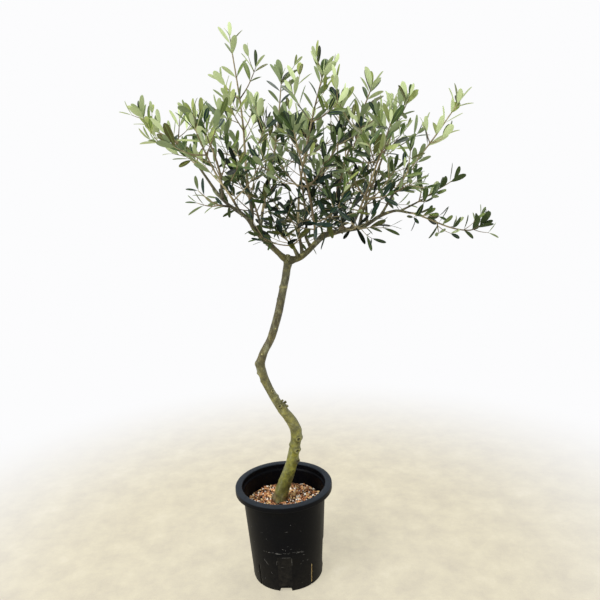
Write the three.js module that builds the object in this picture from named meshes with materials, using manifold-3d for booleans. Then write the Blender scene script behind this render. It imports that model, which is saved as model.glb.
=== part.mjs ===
// A young olive tree in a black nursery pot: a crooked green trunk, two main boughs at one fork,
// smaller boughs that rise from them, and a loose crown in which each mass of foliage grows on from
// one bough. Millimetres, +Z up, +X to the right and +Y to the back of the plant as it is seen.
// The origin is the middle of the pot's flat underside.

import * as THREE from "three";
import { mergeVertices } from "three/addons/utils/BufferGeometryUtils.js";
import Module from "manifold-3d";

const wasm = await Module();
wasm.setup();

// The pot: tall, round and slightly tapered, with a wide rim that turns down outside. EDGE is how far
// its edges are rounded off.
const POT_HEIGHT = 305;
const RIM_RADIUS = 152.4;
const RIM_INSIDE = 131.6;
const RIM_DROP = 17.5;
const BASE_RADIUS = 111;
const BASE_EDGE_Z = 3.6;
const WALL_TOP_RADIUS = 129.8;
const SHOULDER_Z = 281;
const WALL = 2.5;
const EDGE = 2.5;
const FLOOR = 4;
const POT_SIDES = 32;
const POT_QUARTERS = 4;

// Drainage: an arched notch with a flat panel over it on each quarter, and a slit between them. The
// first notch faces -Y but for POT_TURN, seen from above. A cut starts BELOW the underside and ends
// BEYOND the foot of the wall.
const NOTCH = { width: 38, height: 15, depth: 16, bend: 9 };
const PANEL = { width: 60, foot: 20, top: 119, depth: 1.3, block: 20 };
const SLIT = { width: 4, top: 74, depth: 14, turn: Math.PI / 4 };
const POT_TURN = -Math.PI / 30;
const BELOW = -2;
const BEYOND = 30;

// The grit that fills the pot, up to the level at which the trunk is cut flat. It stays clear of the
// wall, and its edges are cut off at SOIL_BEVEL.
const SOIL_TOP = 240;
const SOIL_CLEAR = 1.5;
const SOIL_BEVEL = 4;

// Pieces that meet keep this much air between them.
const GAP = 0.3;

const COLOURS = {
  pot: 0x1f2022,
  grit: 0x8a6448,
  bark: 0x7d7845,
  young_bark: 0x84795a,
  foliage: 0x6d7c52,
};
const ROUGHNESS = { pot: 0.55, grit: 0.95, bark: 0.8, foliage: 0.6 };

// The trunk, from its flat foot to the stub above the fork: where its middle is, and its radius.
const TRUNK = [
  { at: [-14, 14, 240], radius: 25.5 },
  { at: [-9, 13, 262], radius: 22.8 },
  { at: [8, 9, 311], radius: 20.2 },
  { at: [27, 6, 360], radius: 17.8 },
  { at: [42, 4, 423], radius: 16.8 },
  { at: [47, 4, 474], radius: 17.4 },
  { at: [35, 3, 508], radius: 16.2 },
  { at: [9, 0, 550], radius: 14.2 },
  { at: [-27, -4, 619], radius: 12.8 },
  { at: [-45, -6, 674], radius: 13 },
  { at: [-50, -7, 701], radius: 13.8 },
  { at: [-40, -6, 730], radius: 12.6 },
  { at: [-13, -2, 778], radius: 11.9 },
  { at: [13, 2, 850], radius: 11.6 },
  { at: [33, 5, 930], radius: 11.4 },
  { at: [46, 6, 985], radius: 12.2 },
  { at: [50, 6, 1006], radius: 13.4 },
  { at: [50, 6, 1021], radius: 9.5 },
];
const FORK_SHARE = 16 / 17;
const TRUNK_SIDES = 12;
const TRUNK_RINGS = 27;
const ROOT_FLARE = { wider: 4, height: 12 };
const GROUND = { width: 120, height: 40 };

// Each bough leaves its parent at a share of the parent's length and runs through the points given.
// radii are those of its foot and its tip.
const BOUGHS = [
  { name: "bough_left", parent: "trunk", share: FORK_SHARE, radii: [8.4, 3.2],
    through: [[-33, -4, 1094], [-62, -8, 1140], [-125, -10, 1194], [-186, -14, 1289]] },
  { name: "bough_right", parent: "trunk", share: FORK_SHARE, radii: [9.8, 3],
    through: [[93, 2, 1021], [163, -4, 1078], [217, -8, 1090], [275, -8, 1098], [326, -8, 1127],
      [372, -10, 1139], [413, -12, 1131]] },
  { name: "bough_back_left", parent: "bough_left", share: 0.16, radii: [5, 3.6],
    through: [[-20, 40, 1092], [-30, 78, 1136]] },
  { name: "bough_upper_left", parent: "bough_left", share: 0.27, radii: [5.2, 4],
    through: [[-22, 10, 1122], [-16, 18, 1154]] },
  { name: "bough_top_left", parent: "bough_left", share: 0.41, radii: [5.6, 4.4],
    through: [[-46, 2, 1156], [-50, 5, 1190]] },
  { name: "bough_front_left", parent: "bough_left", share: 0.56, radii: [4.6, 3.4],
    through: [[-82, -40, 1166], [-92, -74, 1190]] },
  { name: "bough_low_left", parent: "bough_left", share: 0.67, radii: [3.6, 2.6],
    through: [[-128, -42, 1180]] },
  { name: "bough_left_middle", parent: "bough_left", share: 0.76, radii: [4.4, 3.6],
    through: [[-128, -12, 1250]] },
  { name: "bough_upper_middle", parent: "bough_right", share: 0.145, radii: [5, 4],
    through: [[90, -4, 1056], [86, -8, 1092]] },
  { name: "bough_back_middle", parent: "bough_right", share: 0.2, radii: [5, 3.8],
    through: [[110, 46, 1070], [114, 80, 1102]] },
  { name: "bough_low_middle", parent: "bough_right", share: 0.1, radii: [3.8, 2.8],
    through: [[66, -44, 1052]] },
  { name: "bough_low_back", parent: "bough_right", share: 0.12, radii: [3.8, 2.8],
    through: [[70, 44, 1048]] },
  { name: "bough_front_middle", parent: "bough_right", share: 0.255, radii: [5, 3.8],
    through: [[130, -42, 1072], [128, -74, 1100]] },
  { name: "bough_top_right", parent: "bough_right", share: 0.315, radii: [5, 4],
    through: [[174, -4, 1112], [184, -6, 1144]] },
  { name: "bough_low_right", parent: "bough_right", share: 0.365, radii: [3.6, 2.6],
    through: [[204, -50, 1102]] },
  { name: "bough_inner_right", parent: "bough_right", share: 0.42, radii: [4.8, 3.8],
    through: [[218, 28, 1124], [214, 50, 1154]] },
  { name: "bough_front_right", parent: "bough_right", share: 0.48, radii: [4.6, 3.6],
    through: [[244, -48, 1118], [252, -80, 1146]] },
  { name: "bough_right_upper", parent: "bough_right", share: 0.54, radii: [4.8, 3.8],
    through: [[276, 10, 1136], [290, 15, 1170]] },
  { name: "bough_back_right", parent: "bough_right", share: 0.605, radii: [4.6, 3.6],
    through: [[294, 44, 1126], [299, 80, 1156]] },
  { name: "bough_right_shoot", parent: "bough_right", share: 0.72, radii: [4, 3.2],
    through: [[350, -2, 1162], [372, 1, 1196]] },
  { name: "bough_right_middle", parent: "bough_right", share: 0.9, radii: [2.8, 2.4],
    through: [[432, -14, 1160]] },
];
const BOUGH_SIDES = 6;
const BOUGH_RING_EVERY = 36;

// Each mass of foliage grows on from one bough's tip. Its stem runs through the points given, spread
// is the length of its longest side twigs, and its stem bears leaves of its own beyond the share leafy.
const MASSES = [
  { name: "left_lobe", bough: "bough_left", spread: 78, leafy: 0.2,
    through: [[-244, -20, 1359], [-300, -26, 1396], [-326, -28, 1428]] },
  { name: "back_left", bough: "bough_back_left", spread: 170, leafy: 0.5,
    through: [[-62, 150, 1240], [-100, 210, 1335], [-126, 250, 1410]] },
  { name: "upper_left", bough: "bough_upper_left", spread: 150, leafy: 0.45,
    through: [[22, 60, 1292], [44, 85, 1405], [60, 105, 1518]] },
  { name: "top_left", bough: "bough_top_left", spread: 140, leafy: 0.55,
    through: [[-56, 10, 1290], [-56, 14, 1387], [-62, 14, 1482], [-74, 14, 1598]] },
  { name: "front_left", bough: "bough_front_left", spread: 150, leafy: 0.5,
    through: [[-128, -146, 1262], [-150, -196, 1322], [-162, -226, 1362]] },
  { name: "low_left", bough: "bough_low_left", spread: 70, leafy: 0.3,
    through: [[-158, -70, 1196], [-180, -84, 1218]] },
  { name: "left_middle", bough: "bough_left_middle", spread: 110, leafy: 0.4,
    through: [[-143, -40, 1333], [-166, -70, 1388], [-178, -85, 1411]] },
  { name: "upper_middle", bough: "bough_upper_middle", spread: 160, leafy: 0.5,
    through: [[93, -40, 1219], [114, -65, 1320], [139, -85, 1422], [163, -100, 1504]] },
  { name: "back_middle", bough: "bough_back_middle", spread: 180, leafy: 0.5,
    through: [[112, 160, 1220], [106, 224, 1320], [102, 268, 1405]] },
  { name: "low_middle", bough: "bough_low_middle", spread: 100, leafy: 0.3,
    through: [[50, -84, 1076], [40, -120, 1096]] },
  { name: "low_back", bough: "bough_low_back", spread: 100, leafy: 0.3,
    through: [[56, 88, 1080], [46, 130, 1106]] },
  { name: "front_middle", bough: "bough_front_middle", spread: 170, leafy: 0.5,
    through: [[112, -148, 1200], [92, -206, 1280], [76, -246, 1345]] },
  { name: "top_right", bough: "bough_top_right", spread: 150, leafy: 0.5,
    through: [[227, -30, 1289], [258, -60, 1380], [289, -85, 1458]] },
  { name: "low_right", bough: "bough_low_right", spread: 95, leafy: 0.3,
    through: [[222, -100, 1098], [234, -140, 1108]] },
  { name: "inner_right", bough: "bough_inner_right", spread: 150, leafy: 0.5,
    through: [[214, 92, 1250], [226, 128, 1352], [236, 150, 1434]] },
  { name: "front_right", bough: "bough_front_right", spread: 160, leafy: 0.5,
    through: [[276, -144, 1226], [296, -196, 1300], [310, -232, 1352]] },
  { name: "right_upper", bough: "bough_right_upper", spread: 130, leafy: 0.45,
    through: [[350, 50, 1302], [397, 80, 1396], [424, 100, 1444]] },
  { name: "back_right", bough: "bough_back_right", spread: 165, leafy: 0.5,
    through: [[318, 152, 1250], [338, 210, 1325], [350, 244, 1380]] },
  { name: "right_shoot", bough: "bough_right_shoot", spread: 75, leafy: 0.3,
    through: [[432, 4, 1274], [484, 4, 1335], [535, 4, 1402], [556, 4, 1430]] },
  { name: "right_middle", bough: "bough_right_middle", spread: 56, leafy: 0.15,
    through: [[486, -15, 1190], [526, -20, 1212]] },
  { name: "right_tip", bough: "bough_right", spread: 50, leafy: 0.1,
    through: [[467, -24, 1110], [532, -32, 1082], [584, -36, 1074], [604, -38, 1082]] },
];

// A limb's middle line is taken as this many straight steps wherever distances to it are measured.
const LINE_STEPS = 16;
const TAKEN_STEPS = 6;

// A stem runs straight on from its bough for its lead.
const STEM = { lead: 12, tip: 1.8, sides: 4 };

// How a mass branches. Twigs leave the stem in pairs, each pair turned a quarter from the last, and
// are shorter the further up they stand. A twig that has to stop short of shortest is left out.
const TWIG = {
  every: 74, clearFoot: 22, until: 0.78, angle: 1.05, lift: 0.16, rise: 0.3, foot: 2, tip: 1.5, sides: 3,
  shortest: 34, wane: 0.52, steps: 8, turnChance: [-0.4, 0.4], longChance: [0.8, 1.1],
};

// Leaves stand in pairs too, drawn out of the wood between two rings one root apart. They are larger
// than life, as each stands for several. Each keeps apart from the last ones, beyond the share
// nearFoot of its own length, and points at least outward away from its twig.
const LEAF = {
  every: 40, from: 0.25, length: 72, width: 20, widest: 0.48, thick: 1.8, root: 4, angle: 0.76, apart: 9,
  nearFoot: 0.3, outward: 0.25, angleChance: [-0.15, 0.2], longChance: [0.8, 1.1], tipChance: [0.8, 1],
};
const LEAF_TESTS = [0.2, 0.4, 0.6, 0.8, 1];

// Where a leaf has no room it is tried again closer to its twig and shorter.
const TRIES = [
  { closer: 1, shorter: 1 },
  { closer: 0.66, shorter: 0.95 },
  { closer: 0.4, shorter: 0.75 },
];
const TIP_TRIES = [1, 0.8, 0.6];

// A pair stands this share of the way from one pair's place to the next one's. Bare wood below the
// first pair has a ring at least every bareRing.
const NODE = { offset: 0.3, bareRing: 90, before: 0.02 };

// The share of a leaf's direction that is straight up: from least in the bottom of the crown to most
// in the top of it.
const LIFT = { levelAt: 1060, over: 460, least: -0.15, most: 0.6 };

// A mass keeps to its own space by margin, and within reach times its spread.
const SPACE = { margin: 1.6, reach: 1.5 };
const LIMB_CLEAR = 1.2;
const SEED = { first: 11, step: 7, leaves: 1000 };

const UP = new THREE.Vector3(0, 0, 1);

// Park and Miller's generator, so that each build gives the same plant.
function seeded(seed) {
  let state = seed;
  return (low, high) => {
    state = (state * 16807) % 2147483647;
    return low + ((high - low) * (state - 1)) / 2147483646;
  };
}

// A smooth curve through points, and its radius as a function of the share of its length, 0 to 1.
function limb(points, radius) {
  const curve = new THREE.CatmullRomCurve3(points);
  return { curve, radius, length: curve.getLength() };
}

const taper = (foot, tip) => (share) => foot + (tip - foot) * share;
const vector = (xyz) => new THREE.Vector3(...xyz);

// Any closed geometry as a solid that can be cut and joined.
function solidOf(geometry) {
  const bare = geometry.clone();
  bare.deleteAttribute("normal");
  bare.deleteAttribute("uv");
  const merged = mergeVertices(bare, 1e-4);
  return new wasm.Manifold(
    new wasm.Mesh({
      numProp: 3,
      vertProperties: merged.attributes.position.array,
      triVerts: new Uint32Array(merged.index.array),
    }),
  );
}

function geometryOf(solid) {
  const mesh = solid.getMesh();
  const geometry = new THREE.BufferGeometry();
  geometry.setAttribute("position", new THREE.BufferAttribute(mesh.vertProperties, 3));
  geometry.setIndex(new THREE.BufferAttribute(mesh.triVerts, 1));
  geometry.computeVertexNormals();
  return geometry;
}

const evenly = (count) => Array.from({ length: count + 1 }, (_, i) => i / count);

// Directions across a limb at some shares of its length, carried along so that they never twist.
function framesAlong(curve, shares) {
  let across = new THREE.Vector3(0, 1, 0);
  return shares.map((share) => {
    const along = curve.getTangent(share);
    across = across.clone().addScaledVector(along, -across.dot(along)).normalize();
    return { middle: curve.getPoint(share), along, across, other: along.clone().cross(across) };
  });
}

// A limb's solid: an upright cylinder whose rings are carried onto the curve and given its radius.
// extra makes it larger all round and at both ends.
function limbGeometry({ curve, radius }, sides, rings, extra = 0) {
  const geometry = new THREE.CylinderGeometry(1, 1, 1, sides, rings);
  const frames = framesAlong(curve, evenly(rings));
  const place = geometry.attributes.position;
  for (let i = 0; i < place.count; i += 1) {
    const ring = Math.round((place.getY(i) + 0.5) * rings);
    const { middle, along, across, other } = frames[ring];
    const wide = radius(ring / rings) + extra;
    const point = middle.clone();
    if (ring === 0) point.addScaledVector(along, -extra);
    if (ring === rings) point.addScaledVector(along, extra);
    point.addScaledVector(across, place.getZ(i) * wide).addScaledVector(other, place.getX(i) * wide);
    place.setXYZ(i, point.x, point.y, point.z);
  }
  return geometry;
}

// The trunk's radius between its measured places, as a straight line from one to the next.
function trunkRadius(share) {
  const step = Math.min(share * (TRUNK.length - 1), TRUNK.length - 1.000001);
  const low = Math.floor(step);
  return THREE.MathUtils.lerp(TRUNK[low].radius, TRUNK[low + 1].radius, step - low);
}

function trunkLimb() {
  return limb(TRUNK.map(({ at }) => vector(at)), trunkRadius);
}

// The trunk with its root flare, run a little below the grit and cut flat at its surface.
function trunkSolid(trunk, extra = 0) {
  const swept = solidOf(limbGeometry(trunk, TRUNK_SIDES, TRUNK_RINGS, extra));
  const wide = trunkRadius(0) + extra;
  const flare = new THREE.CylinderGeometry(wide, wide + ROOT_FLARE.wider, ROOT_FLARE.height, TRUNK_SIDES);
  flare.rotateX(Math.PI / 2).translate(...TRUNK[0].at);
  const ground = new THREE.BoxGeometry(GROUND.width, GROUND.width, GROUND.height);
  ground.translate(0, 0, SOIL_TOP - GROUND.height / 2);
  return swept.add(solidOf(flare)).subtract(solidOf(ground));
}

// The pot's outline, from the middle of its underside out, up, over the rim and back down inside.
function potProfile() {
  const inside = WALL_TOP_RADIUS - WALL;
  return [
    [0, 0], [BASE_RADIUS - 3.5, 0], [BASE_RADIUS - 1, 1], [BASE_RADIUS, BASE_EDGE_Z],
    [WALL_TOP_RADIUS, SHOULDER_Z], [RIM_INSIDE + WALL, SHOULDER_Z + 5.5],
    [RIM_INSIDE + WALL, POT_HEIGHT - 2.6], [RIM_RADIUS - WALL, POT_HEIGHT - 3],
    [RIM_RADIUS - WALL, POT_HEIGHT - RIM_DROP], [RIM_RADIUS, POT_HEIGHT - RIM_DROP],
    [RIM_RADIUS, POT_HEIGHT - EDGE], [RIM_RADIUS - EDGE, POT_HEIGHT],
    [RIM_INSIDE + EDGE, POT_HEIGHT], [RIM_INSIDE, POT_HEIGHT - EDGE],
    [RIM_INSIDE - 0.4, SHOULDER_Z + 7], [inside, SHOULDER_Z + 2],
    [insideRadius(FLOOR + 2), FLOOR + 2], [insideRadius(FLOOR) - 1.5, FLOOR], [0, FLOOR],
  ];
}

// The wall's inside radius at a height, as both faces of the wall are straight.
function insideRadius(height) {
  const share = (height - BASE_EDGE_Z) / (SHOULDER_Z - BASE_EDGE_Z);
  return THREE.MathUtils.lerp(BASE_RADIUS, WALL_TOP_RADIUS, share) - WALL;
}

// A solid turned about the upright axis from pairs of radius and height.
function turned(points) {
  const profile = points.map(([radius, height]) => new THREE.Vector2(radius, height));
  return solidOf(new THREE.LatheGeometry(profile, POT_SIDES).rotateX(Math.PI / 2));
}

// A slit: a narrow block through the wall on the side that faces -Y, turned round the pot.
function slitCut(turn) {
  const inner = BASE_RADIUS - SLIT.depth;
  const outer = BASE_RADIUS + BEYOND;
  const block = new THREE.BoxGeometry(SLIT.width, outer - inner, SLIT.top - BELOW);
  block.translate(0, -(inner + outer) / 2, (BELOW + SLIT.top) / 2);
  return solidOf(block.rotateZ(turn + SLIT.turn));
}

// An arched notch: a flat outline with a round top, pushed through the foot of the wall.
function notchCut(turn) {
  const half = NOTCH.width / 2;
  const arch = new THREE.Shape();
  arch.moveTo(-half, BELOW).lineTo(half, BELOW).lineTo(half, NOTCH.height - NOTCH.bend);
  arch.quadraticCurveTo(half, NOTCH.height, half - NOTCH.bend, NOTCH.height);
  arch.lineTo(NOTCH.bend - half, NOTCH.height);
  arch.quadraticCurveTo(-half, NOTCH.height, -half, NOTCH.height - NOTCH.bend);
  const block = new THREE.ExtrudeGeometry(arch, { depth: BEYOND, bevelEnabled: false, curveSegments: 3 });
  block.rotateX(Math.PI / 2).translate(0, -(BASE_RADIUS - NOTCH.depth), 0);
  return solidOf(block.rotateZ(turn));
}

// The panel is a flat planed on the round wall. It leans with the wall and is as wide as its depth
// in the middle makes it.
function panelCut(turn) {
  const lean = Math.atan2(WALL_TOP_RADIUS - BASE_RADIUS, SHOULDER_Z - BASE_EDGE_Z);
  const middle = (PANEL.top + PANEL.foot) / 2;
  const block = new THREE.BoxGeometry(PANEL.width, PANEL.block, PANEL.top - PANEL.foot);
  block.translate(0, -PANEL.block / 2, 0).rotateX(lean);
  block.translate(0, PANEL.depth - insideRadius(middle) - WALL, middle);
  return solidOf(block.rotateZ(turn));
}

function potSolid() {
  let pot = turned(potProfile());
  for (let quarter = 0; quarter < POT_QUARTERS; quarter += 1) {
    const turn = POT_TURN + (quarter * 2 * Math.PI) / POT_QUARTERS;
    pot = pot.subtract(notchCut(turn));
    pot = pot.subtract(panelCut(turn));
    pot = pot.subtract(slitCut(turn));
  }
  return pot;
}

// The fill: a plug of grit that stands on the pot's floor and is flat on top.
function soilSolid() {
  const low = FLOOR + SOIL_BEVEL + 2;
  const high = SOIL_TOP - SOIL_BEVEL;
  return turned([
    [0, FLOOR], [insideRadius(FLOOR) - SOIL_BEVEL, FLOOR], [insideRadius(low) - SOIL_CLEAR, low],
    [insideRadius(SOIL_TOP) - SOIL_CLEAR, high], [insideRadius(SOIL_TOP) - SOIL_BEVEL, SOIL_TOP], [0, SOIL_TOP],
  ]);
}

// The shortest way from a point to a limb's middle line, and how far along the limb that is.
function nearest(limbPoints, point) {
  let best = Infinity;
  let share = 0;
  const line = new THREE.Line3();
  const foot = new THREE.Vector3();
  for (let i = 0; i + 1 < limbPoints.length; i += 1) {
    line.set(limbPoints[i], limbPoints[i + 1]);
    const along = line.closestPointToPointParameter(point, true);
    const far = line.at(along, foot).distanceTo(point);
    if (far < best) {
      best = far;
      share = (i + along) / (limbPoints.length - 1);
    }
  }
  return { far: best, share };
}

const limbs = new Map();

function addLimb(name, made) {
  limbs.set(name, { ...made, line: made.curve.getPoints(LINE_STEPS) });
}

function clearOfLimbs(point, radius) {
  for (const { line, radius: wide } of limbs.values()) {
    const { far, share } = nearest(line, point);
    if (far < wide(share) + radius + LIMB_CLEAR) return false;
  }
  return true;
}

// A mass keeps to the space that lies nearer to its own stem than to any other.
function inSpace(mass, point, radius) {
  const own = nearest(mass.line, point).far;
  if (own > mass.spread * SPACE.reach + radius) return false;
  const least = own + 2 * (radius + SPACE.margin);
  return masses.every((other) => other === mass || nearest(other.line, point).far > least);
}

function free(mass, point, radius) {
  return inSpace(mass, point, radius) && clearOfLimbs(point, radius);
}

// A side twig leaves at an angle and then rises. It stops where it would leave its space.
function sideTwig(mass, foot, along, out, long) {
  const away = along.clone().multiplyScalar(Math.cos(TWIG.angle)).addScaledVector(out, Math.sin(TWIG.angle));
  away.addScaledVector(UP, TWIG.lift).normalize();
  const lifted = away.clone().addScaledVector(UP, TWIG.rise).normalize();
  const points = [foot, foot.clone().addScaledVector(away, long * 0.5)];
  points.push(points[1].clone().addScaledVector(lifted, long * 0.5));
  const whole = limb(points, taper(TWIG.foot, TWIG.tip));
  let kept = 0;
  while (kept < TWIG.steps && free(mass, whole.curve.getPoint((kept + 1) / TWIG.steps), TWIG.foot)) {
    kept += 1;
  }
  if ((kept / TWIG.steps) * long < TWIG.shortest) return null;
  const shares = [0, kept / TWIG.steps / 2, kept / TWIG.steps];
  return limb(shares.map((share) => whole.curve.getPoint(share)), taper(TWIG.foot, TWIG.tip));
}

// A direction square to the stem, turned about it.
function sideways(along, turn) {
  const level = Math.abs(along.z) > 0.95 ? new THREE.Vector3(1, 0, 0) : UP;
  const across = along.clone().cross(level).normalize();
  return across.applyAxisAngle(along, turn);
}

// Leaves stand up in the top of the crown and hang a little in the bottom of it.
function leafLift(height) {
  return THREE.MathUtils.clamp((height - LIFT.levelAt) / LIFT.over, LIFT.least, LIFT.most);
}

// A leaf: a long, narrow, thin blade with a flat face above and a keel for its midrib below, given
// by the three corners where it is widest and its tip. There is none where it has no room.
function leafAt(mass, root, direction, beside, long) {
  const side = beside.clone().addScaledVector(direction, -beside.dot(direction)).normalize();
  const keel = side.clone().cross(direction);
  const half = (LEAF.width * long) / LEAF.length / 2;
  const tip = root.clone().addScaledVector(direction, long);
  const widest = root.clone().lerp(tip, LEAF.widest);
  const under = widest.clone().addScaledVector(keel, LEAF.thick);
  const right = widest.clone().addScaledVector(side, half);
  const left = widest.clone().addScaledVector(side, -half);
  if (![tip, left, right, under].every((corner) => inSpace(mass, corner, 0))) return null;
  for (const share of LEAF_TESTS) {
    const wide = half * Math.min(share / LEAF.widest, (1 - share) / (1 - LEAF.widest));
    const along = root.clone().lerp(tip, share);
    const crowded = share > LEAF.nearFoot && mass.taken.some((line) => nearest(line, along).far < LEAF.apart);
    if (crowded || !clearOfLimbs(along, wide) || !inSpace(mass, along, 0)) return null;
  }
  mass.taken.push([root.clone().lerp(tip, LEAF_TESTS[0]), tip]);
  return [under, right, left, tip];
}

// The leaf that grows from a face of the wood, out of the four corners low to high.
function leafFrom(mass, face, along, chance) {
  const root = face.reduce((sum, corner) => sum.add(corner), new THREE.Vector3()).divideScalar(face.length);
  const beside = face[1].clone().sub(face[0]).normalize();
  const out = beside.clone().cross(along).normalize();
  const angle = LEAF.angle + chance(...LEAF.angleChance);
  const long = LEAF.length * chance(...LEAF.longChance);
  for (const { closer, shorter } of TRIES) {
    const direction = along.clone().multiplyScalar(Math.cos(angle * closer));
    direction.addScaledVector(out, Math.sin(angle * closer)).addScaledVector(UP, leafLift(root.z));
    direction.addScaledVector(out, Math.max(0, LEAF.outward - direction.dot(out))).normalize();
    const leaf = leafAt(mass, root, direction, beside, long * shorter);
    if (leaf) return leaf;
  }
  return null;
}

// The shares of a shoot's length at which its wood has rings: both ends, and two for each leaf pair.
function shootShares(shoot, from) {
  const pairs = Math.max(1, Math.round((shoot.length * (1 - from)) / LEAF.every));
  const half = LEAF.root / 2 / shoot.length;
  const nodes = evenly(pairs).slice(0, -1).map((share) => from + (1 - from) * (share + NODE.offset / pairs));
  const bare = Math.ceil((from * shoot.length) / NODE.bareRing);
  const below = evenly(bare).map((share) => share * (from - NODE.before));
  return { nodes, shares: [...below, ...nodes.flatMap((node) => [node - half, node + half]), 1] };
}

// The corners of a shoot's rings, sides to a ring.
function ringCorners(shoot, shares, frames, sides) {
  return frames.flatMap(({ middle, across, other }, ring) => evenly(sides).slice(0, -1).map((share) => {
    const turn = share * 2 * Math.PI;
    const arm = across.clone().multiplyScalar(Math.cos(turn)).addScaledVector(other, Math.sin(turn));
    return middle.clone().addScaledVector(arm, shoot.radius(shares[ring]));
  }));
}

// The faces that draw a leaf out of a loop of three or four corners. leaf holds the numbers of its
// own corners: under, right, left and tip.
function leafFaces(loop, [under, right, left, tip]) {
  const [a, b, c] = loop;
  const d = loop.at(-1);
  const root = [a, b, under, b, right, under, b, c, right, c, left, right, d, a, left, a, under, left];
  if (loop.length === 4) root.push(c, d, left);
  return [...root, under, right, tip, right, left, tip, left, under, tip];
}

// A flat loop of three or four corners, closed as a fan of triangles.
function fan(loop) {
  return loop.slice(2).flatMap((corner, i) => [loop[0], loop[i + 1], corner]);
}

// A shoot in one closed skin: rings of wood, and at each node a pair of leaves drawn out of two of
// its faces. The last leaf carries on from the tip.
function shootSolid(mass, shoot, sides, from, chance) {
  const { nodes, shares } = shootShares(shoot, from);
  const frames = framesAlong(shoot.curve, shares);
  const corners = ringCorners(shoot, shares, frames, sides);
  const faces = [];
  const cover = (loop, leaf) => {
    const first = corners.length;
    if (leaf) corners.push(...leaf);
    faces.push(...(leaf ? leafFaces(loop, [first, first + 1, first + 2, first + 3]) : fan(loop)));
  };
  const firstNode = shares.length - 1 - 2 * nodes.length;
  const across = sides > 3 ? 2 : 1;
  for (let ring = 0; ring + 1 < shares.length; ring += 1) {
    const node = (ring - firstNode) / 2;
    const pair = [node % sides, (node + across) % sides];
    for (let side = 0; side < sides; side += 1) {
      const low = ring * sides + side;
      const next = ring * sides + ((side + 1) % sides);
      const loop = [low, next, next + sides, low + sides];
      const bears = pair.includes(side) && node < nodes.length;
      const face = loop.map((i) => corners[i]);
      cover(loop, bears ? leafFrom(mass, face, frames[ring].along, chance) : null);
    }
  }
  const foot = evenly(sides).slice(0, -1).map((_, i) => i);
  const end = foot.map((i) => (shares.length - 1) * sides + i);
  faces.push(...fan(foot.toReversed()));
  const { middle, along, other } = frames.at(-1);
  const beside = sides === 3 ? other : corners[end[1]].clone().sub(corners[end[0]]).normalize();
  const long = LEAF.length * chance(...LEAF.tipChance);
  cover(end, TIP_TRIES.reduce((leaf, less) => leaf ?? leafAt(mass, middle, along, beside, long * less), null));
  const skin = new THREE.BufferGeometry();
  skin.setAttribute("position", new THREE.Float32BufferAttribute(corners.flatMap((at) => at.toArray()), 3));
  skin.setIndex(faces);
  return solidOf(skin);
}

// The largest piece of a solid, without any scrap that a cut leaves.
function largest(solid) {
  return solid.decompose().reduce((most, piece) => (piece.volume() > most.volume() ? piece : most));
}

// A mass: its stem and the side twigs that fit its space, each with its leaves, joined into one.
function massSolid(mass, seed) {
  const chance = seeded(seed);
  const leafChance = seeded(seed + SEED.leaves);
  const { stem } = mass;
  const pairs = Math.max(2, Math.floor((stem.length * TWIG.until - TWIG.clearFoot) / TWIG.every) + 1);
  const twigs = [];
  for (let pair = 0; pair < pairs; pair += 1) {
    const share = (TWIG.clearFoot + pair * TWIG.every) / stem.length;
    const turn = (pair + 0.5) * (Math.PI / 2) + chance(...TWIG.turnChance);
    for (const side of [0, Math.PI]) {
      const along = stem.curve.getTangent(share);
      const long = mass.spread * (1 - TWIG.wane * share) * chance(...TWIG.longChance);
      twigs.push(sideTwig(mass, stem.curve.getPoint(share), along, sideways(along, turn + side), long));
    }
  }
  const grown = twigs.filter((twig) => twig);
  mass.taken = [stem, ...grown].map((shoot) => shoot.curve.getPoints(TAKEN_STEPS));
  let whole = shootSolid(mass, stem, STEM.sides, mass.leafy, leafChance);
  for (const twig of grown) whole = whole.add(shootSolid(mass, twig, TWIG.sides, LEAF.from, leafChance));
  return largest(whole);
}

function part(name, solid, colour, roughness) {
  const material = new THREE.MeshStandardMaterial({ color: colour, roughness, metalness: 0 });
  const mesh = new THREE.Mesh(geometryOf(solid), material);
  mesh.name = name;
  return mesh;
}

// Boughs are laid out from the trunk outwards, so that each finds its parent.
addLimb("trunk", trunkLimb());
for (const { name, parent, share, radii, through } of BOUGHS) {
  const foot = limbs.get(parent).curve.getPoint(share);
  addLimb(name, limb([foot, ...through.map(vector)], taper(...radii)));
}

function boughGeometry(name, extra) {
  const rings = Math.round(limbs.get(name).length / BOUGH_RING_EVERY) + 1;
  return limbGeometry(limbs.get(name), BOUGH_SIDES, rings, extra);
}

// A bough's foot is hollowed to its parent's shape, one gap clear of it.
function boughSolid({ name, parent }) {
  const around = parent === "trunk" ? trunkSolid(limbs.get("trunk"), GAP) : solidOf(boughGeometry(parent, GAP));
  return largest(solidOf(boughGeometry(name, 0)).subtract(around));
}

// Each stem starts one gap beyond its bough's tip, at the bough's own radius and heading.
const masses = MASSES.map((mass) => {
  const bough = limbs.get(mass.bough);
  const foot = bough.curve.getPoint(1).addScaledVector(bough.curve.getTangent(1), GAP);
  const lead = foot.clone().addScaledVector(bough.curve.getTangent(1), STEM.lead);
  const stem = limb([foot, lead, ...mass.through.map(vector)], taper(bough.radius(1), STEM.tip));
  return { ...mass, stem, line: stem.curve.getPoints(LINE_STEPS) };
});

const tree = new THREE.Group();
tree.add(part("pot", potSolid(), COLOURS.pot, ROUGHNESS.pot));
tree.add(part("soil", soilSolid(), COLOURS.grit, ROUGHNESS.grit));
tree.add(part("trunk", trunkSolid(limbs.get("trunk")), COLOURS.bark, ROUGHNESS.bark));
for (const bough of BOUGHS) {
  tree.add(part(bough.name, boughSolid(bough), COLOURS.young_bark, ROUGHNESS.bark));
}
masses.forEach((mass, i) => {
  const solid = massSolid(mass, SEED.first + SEED.step * i);
  tree.add(part(`foliage_${mass.name}`, solid, COLOURS.foliage, ROUGHNESS.foliage));
});

export default tree;
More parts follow.
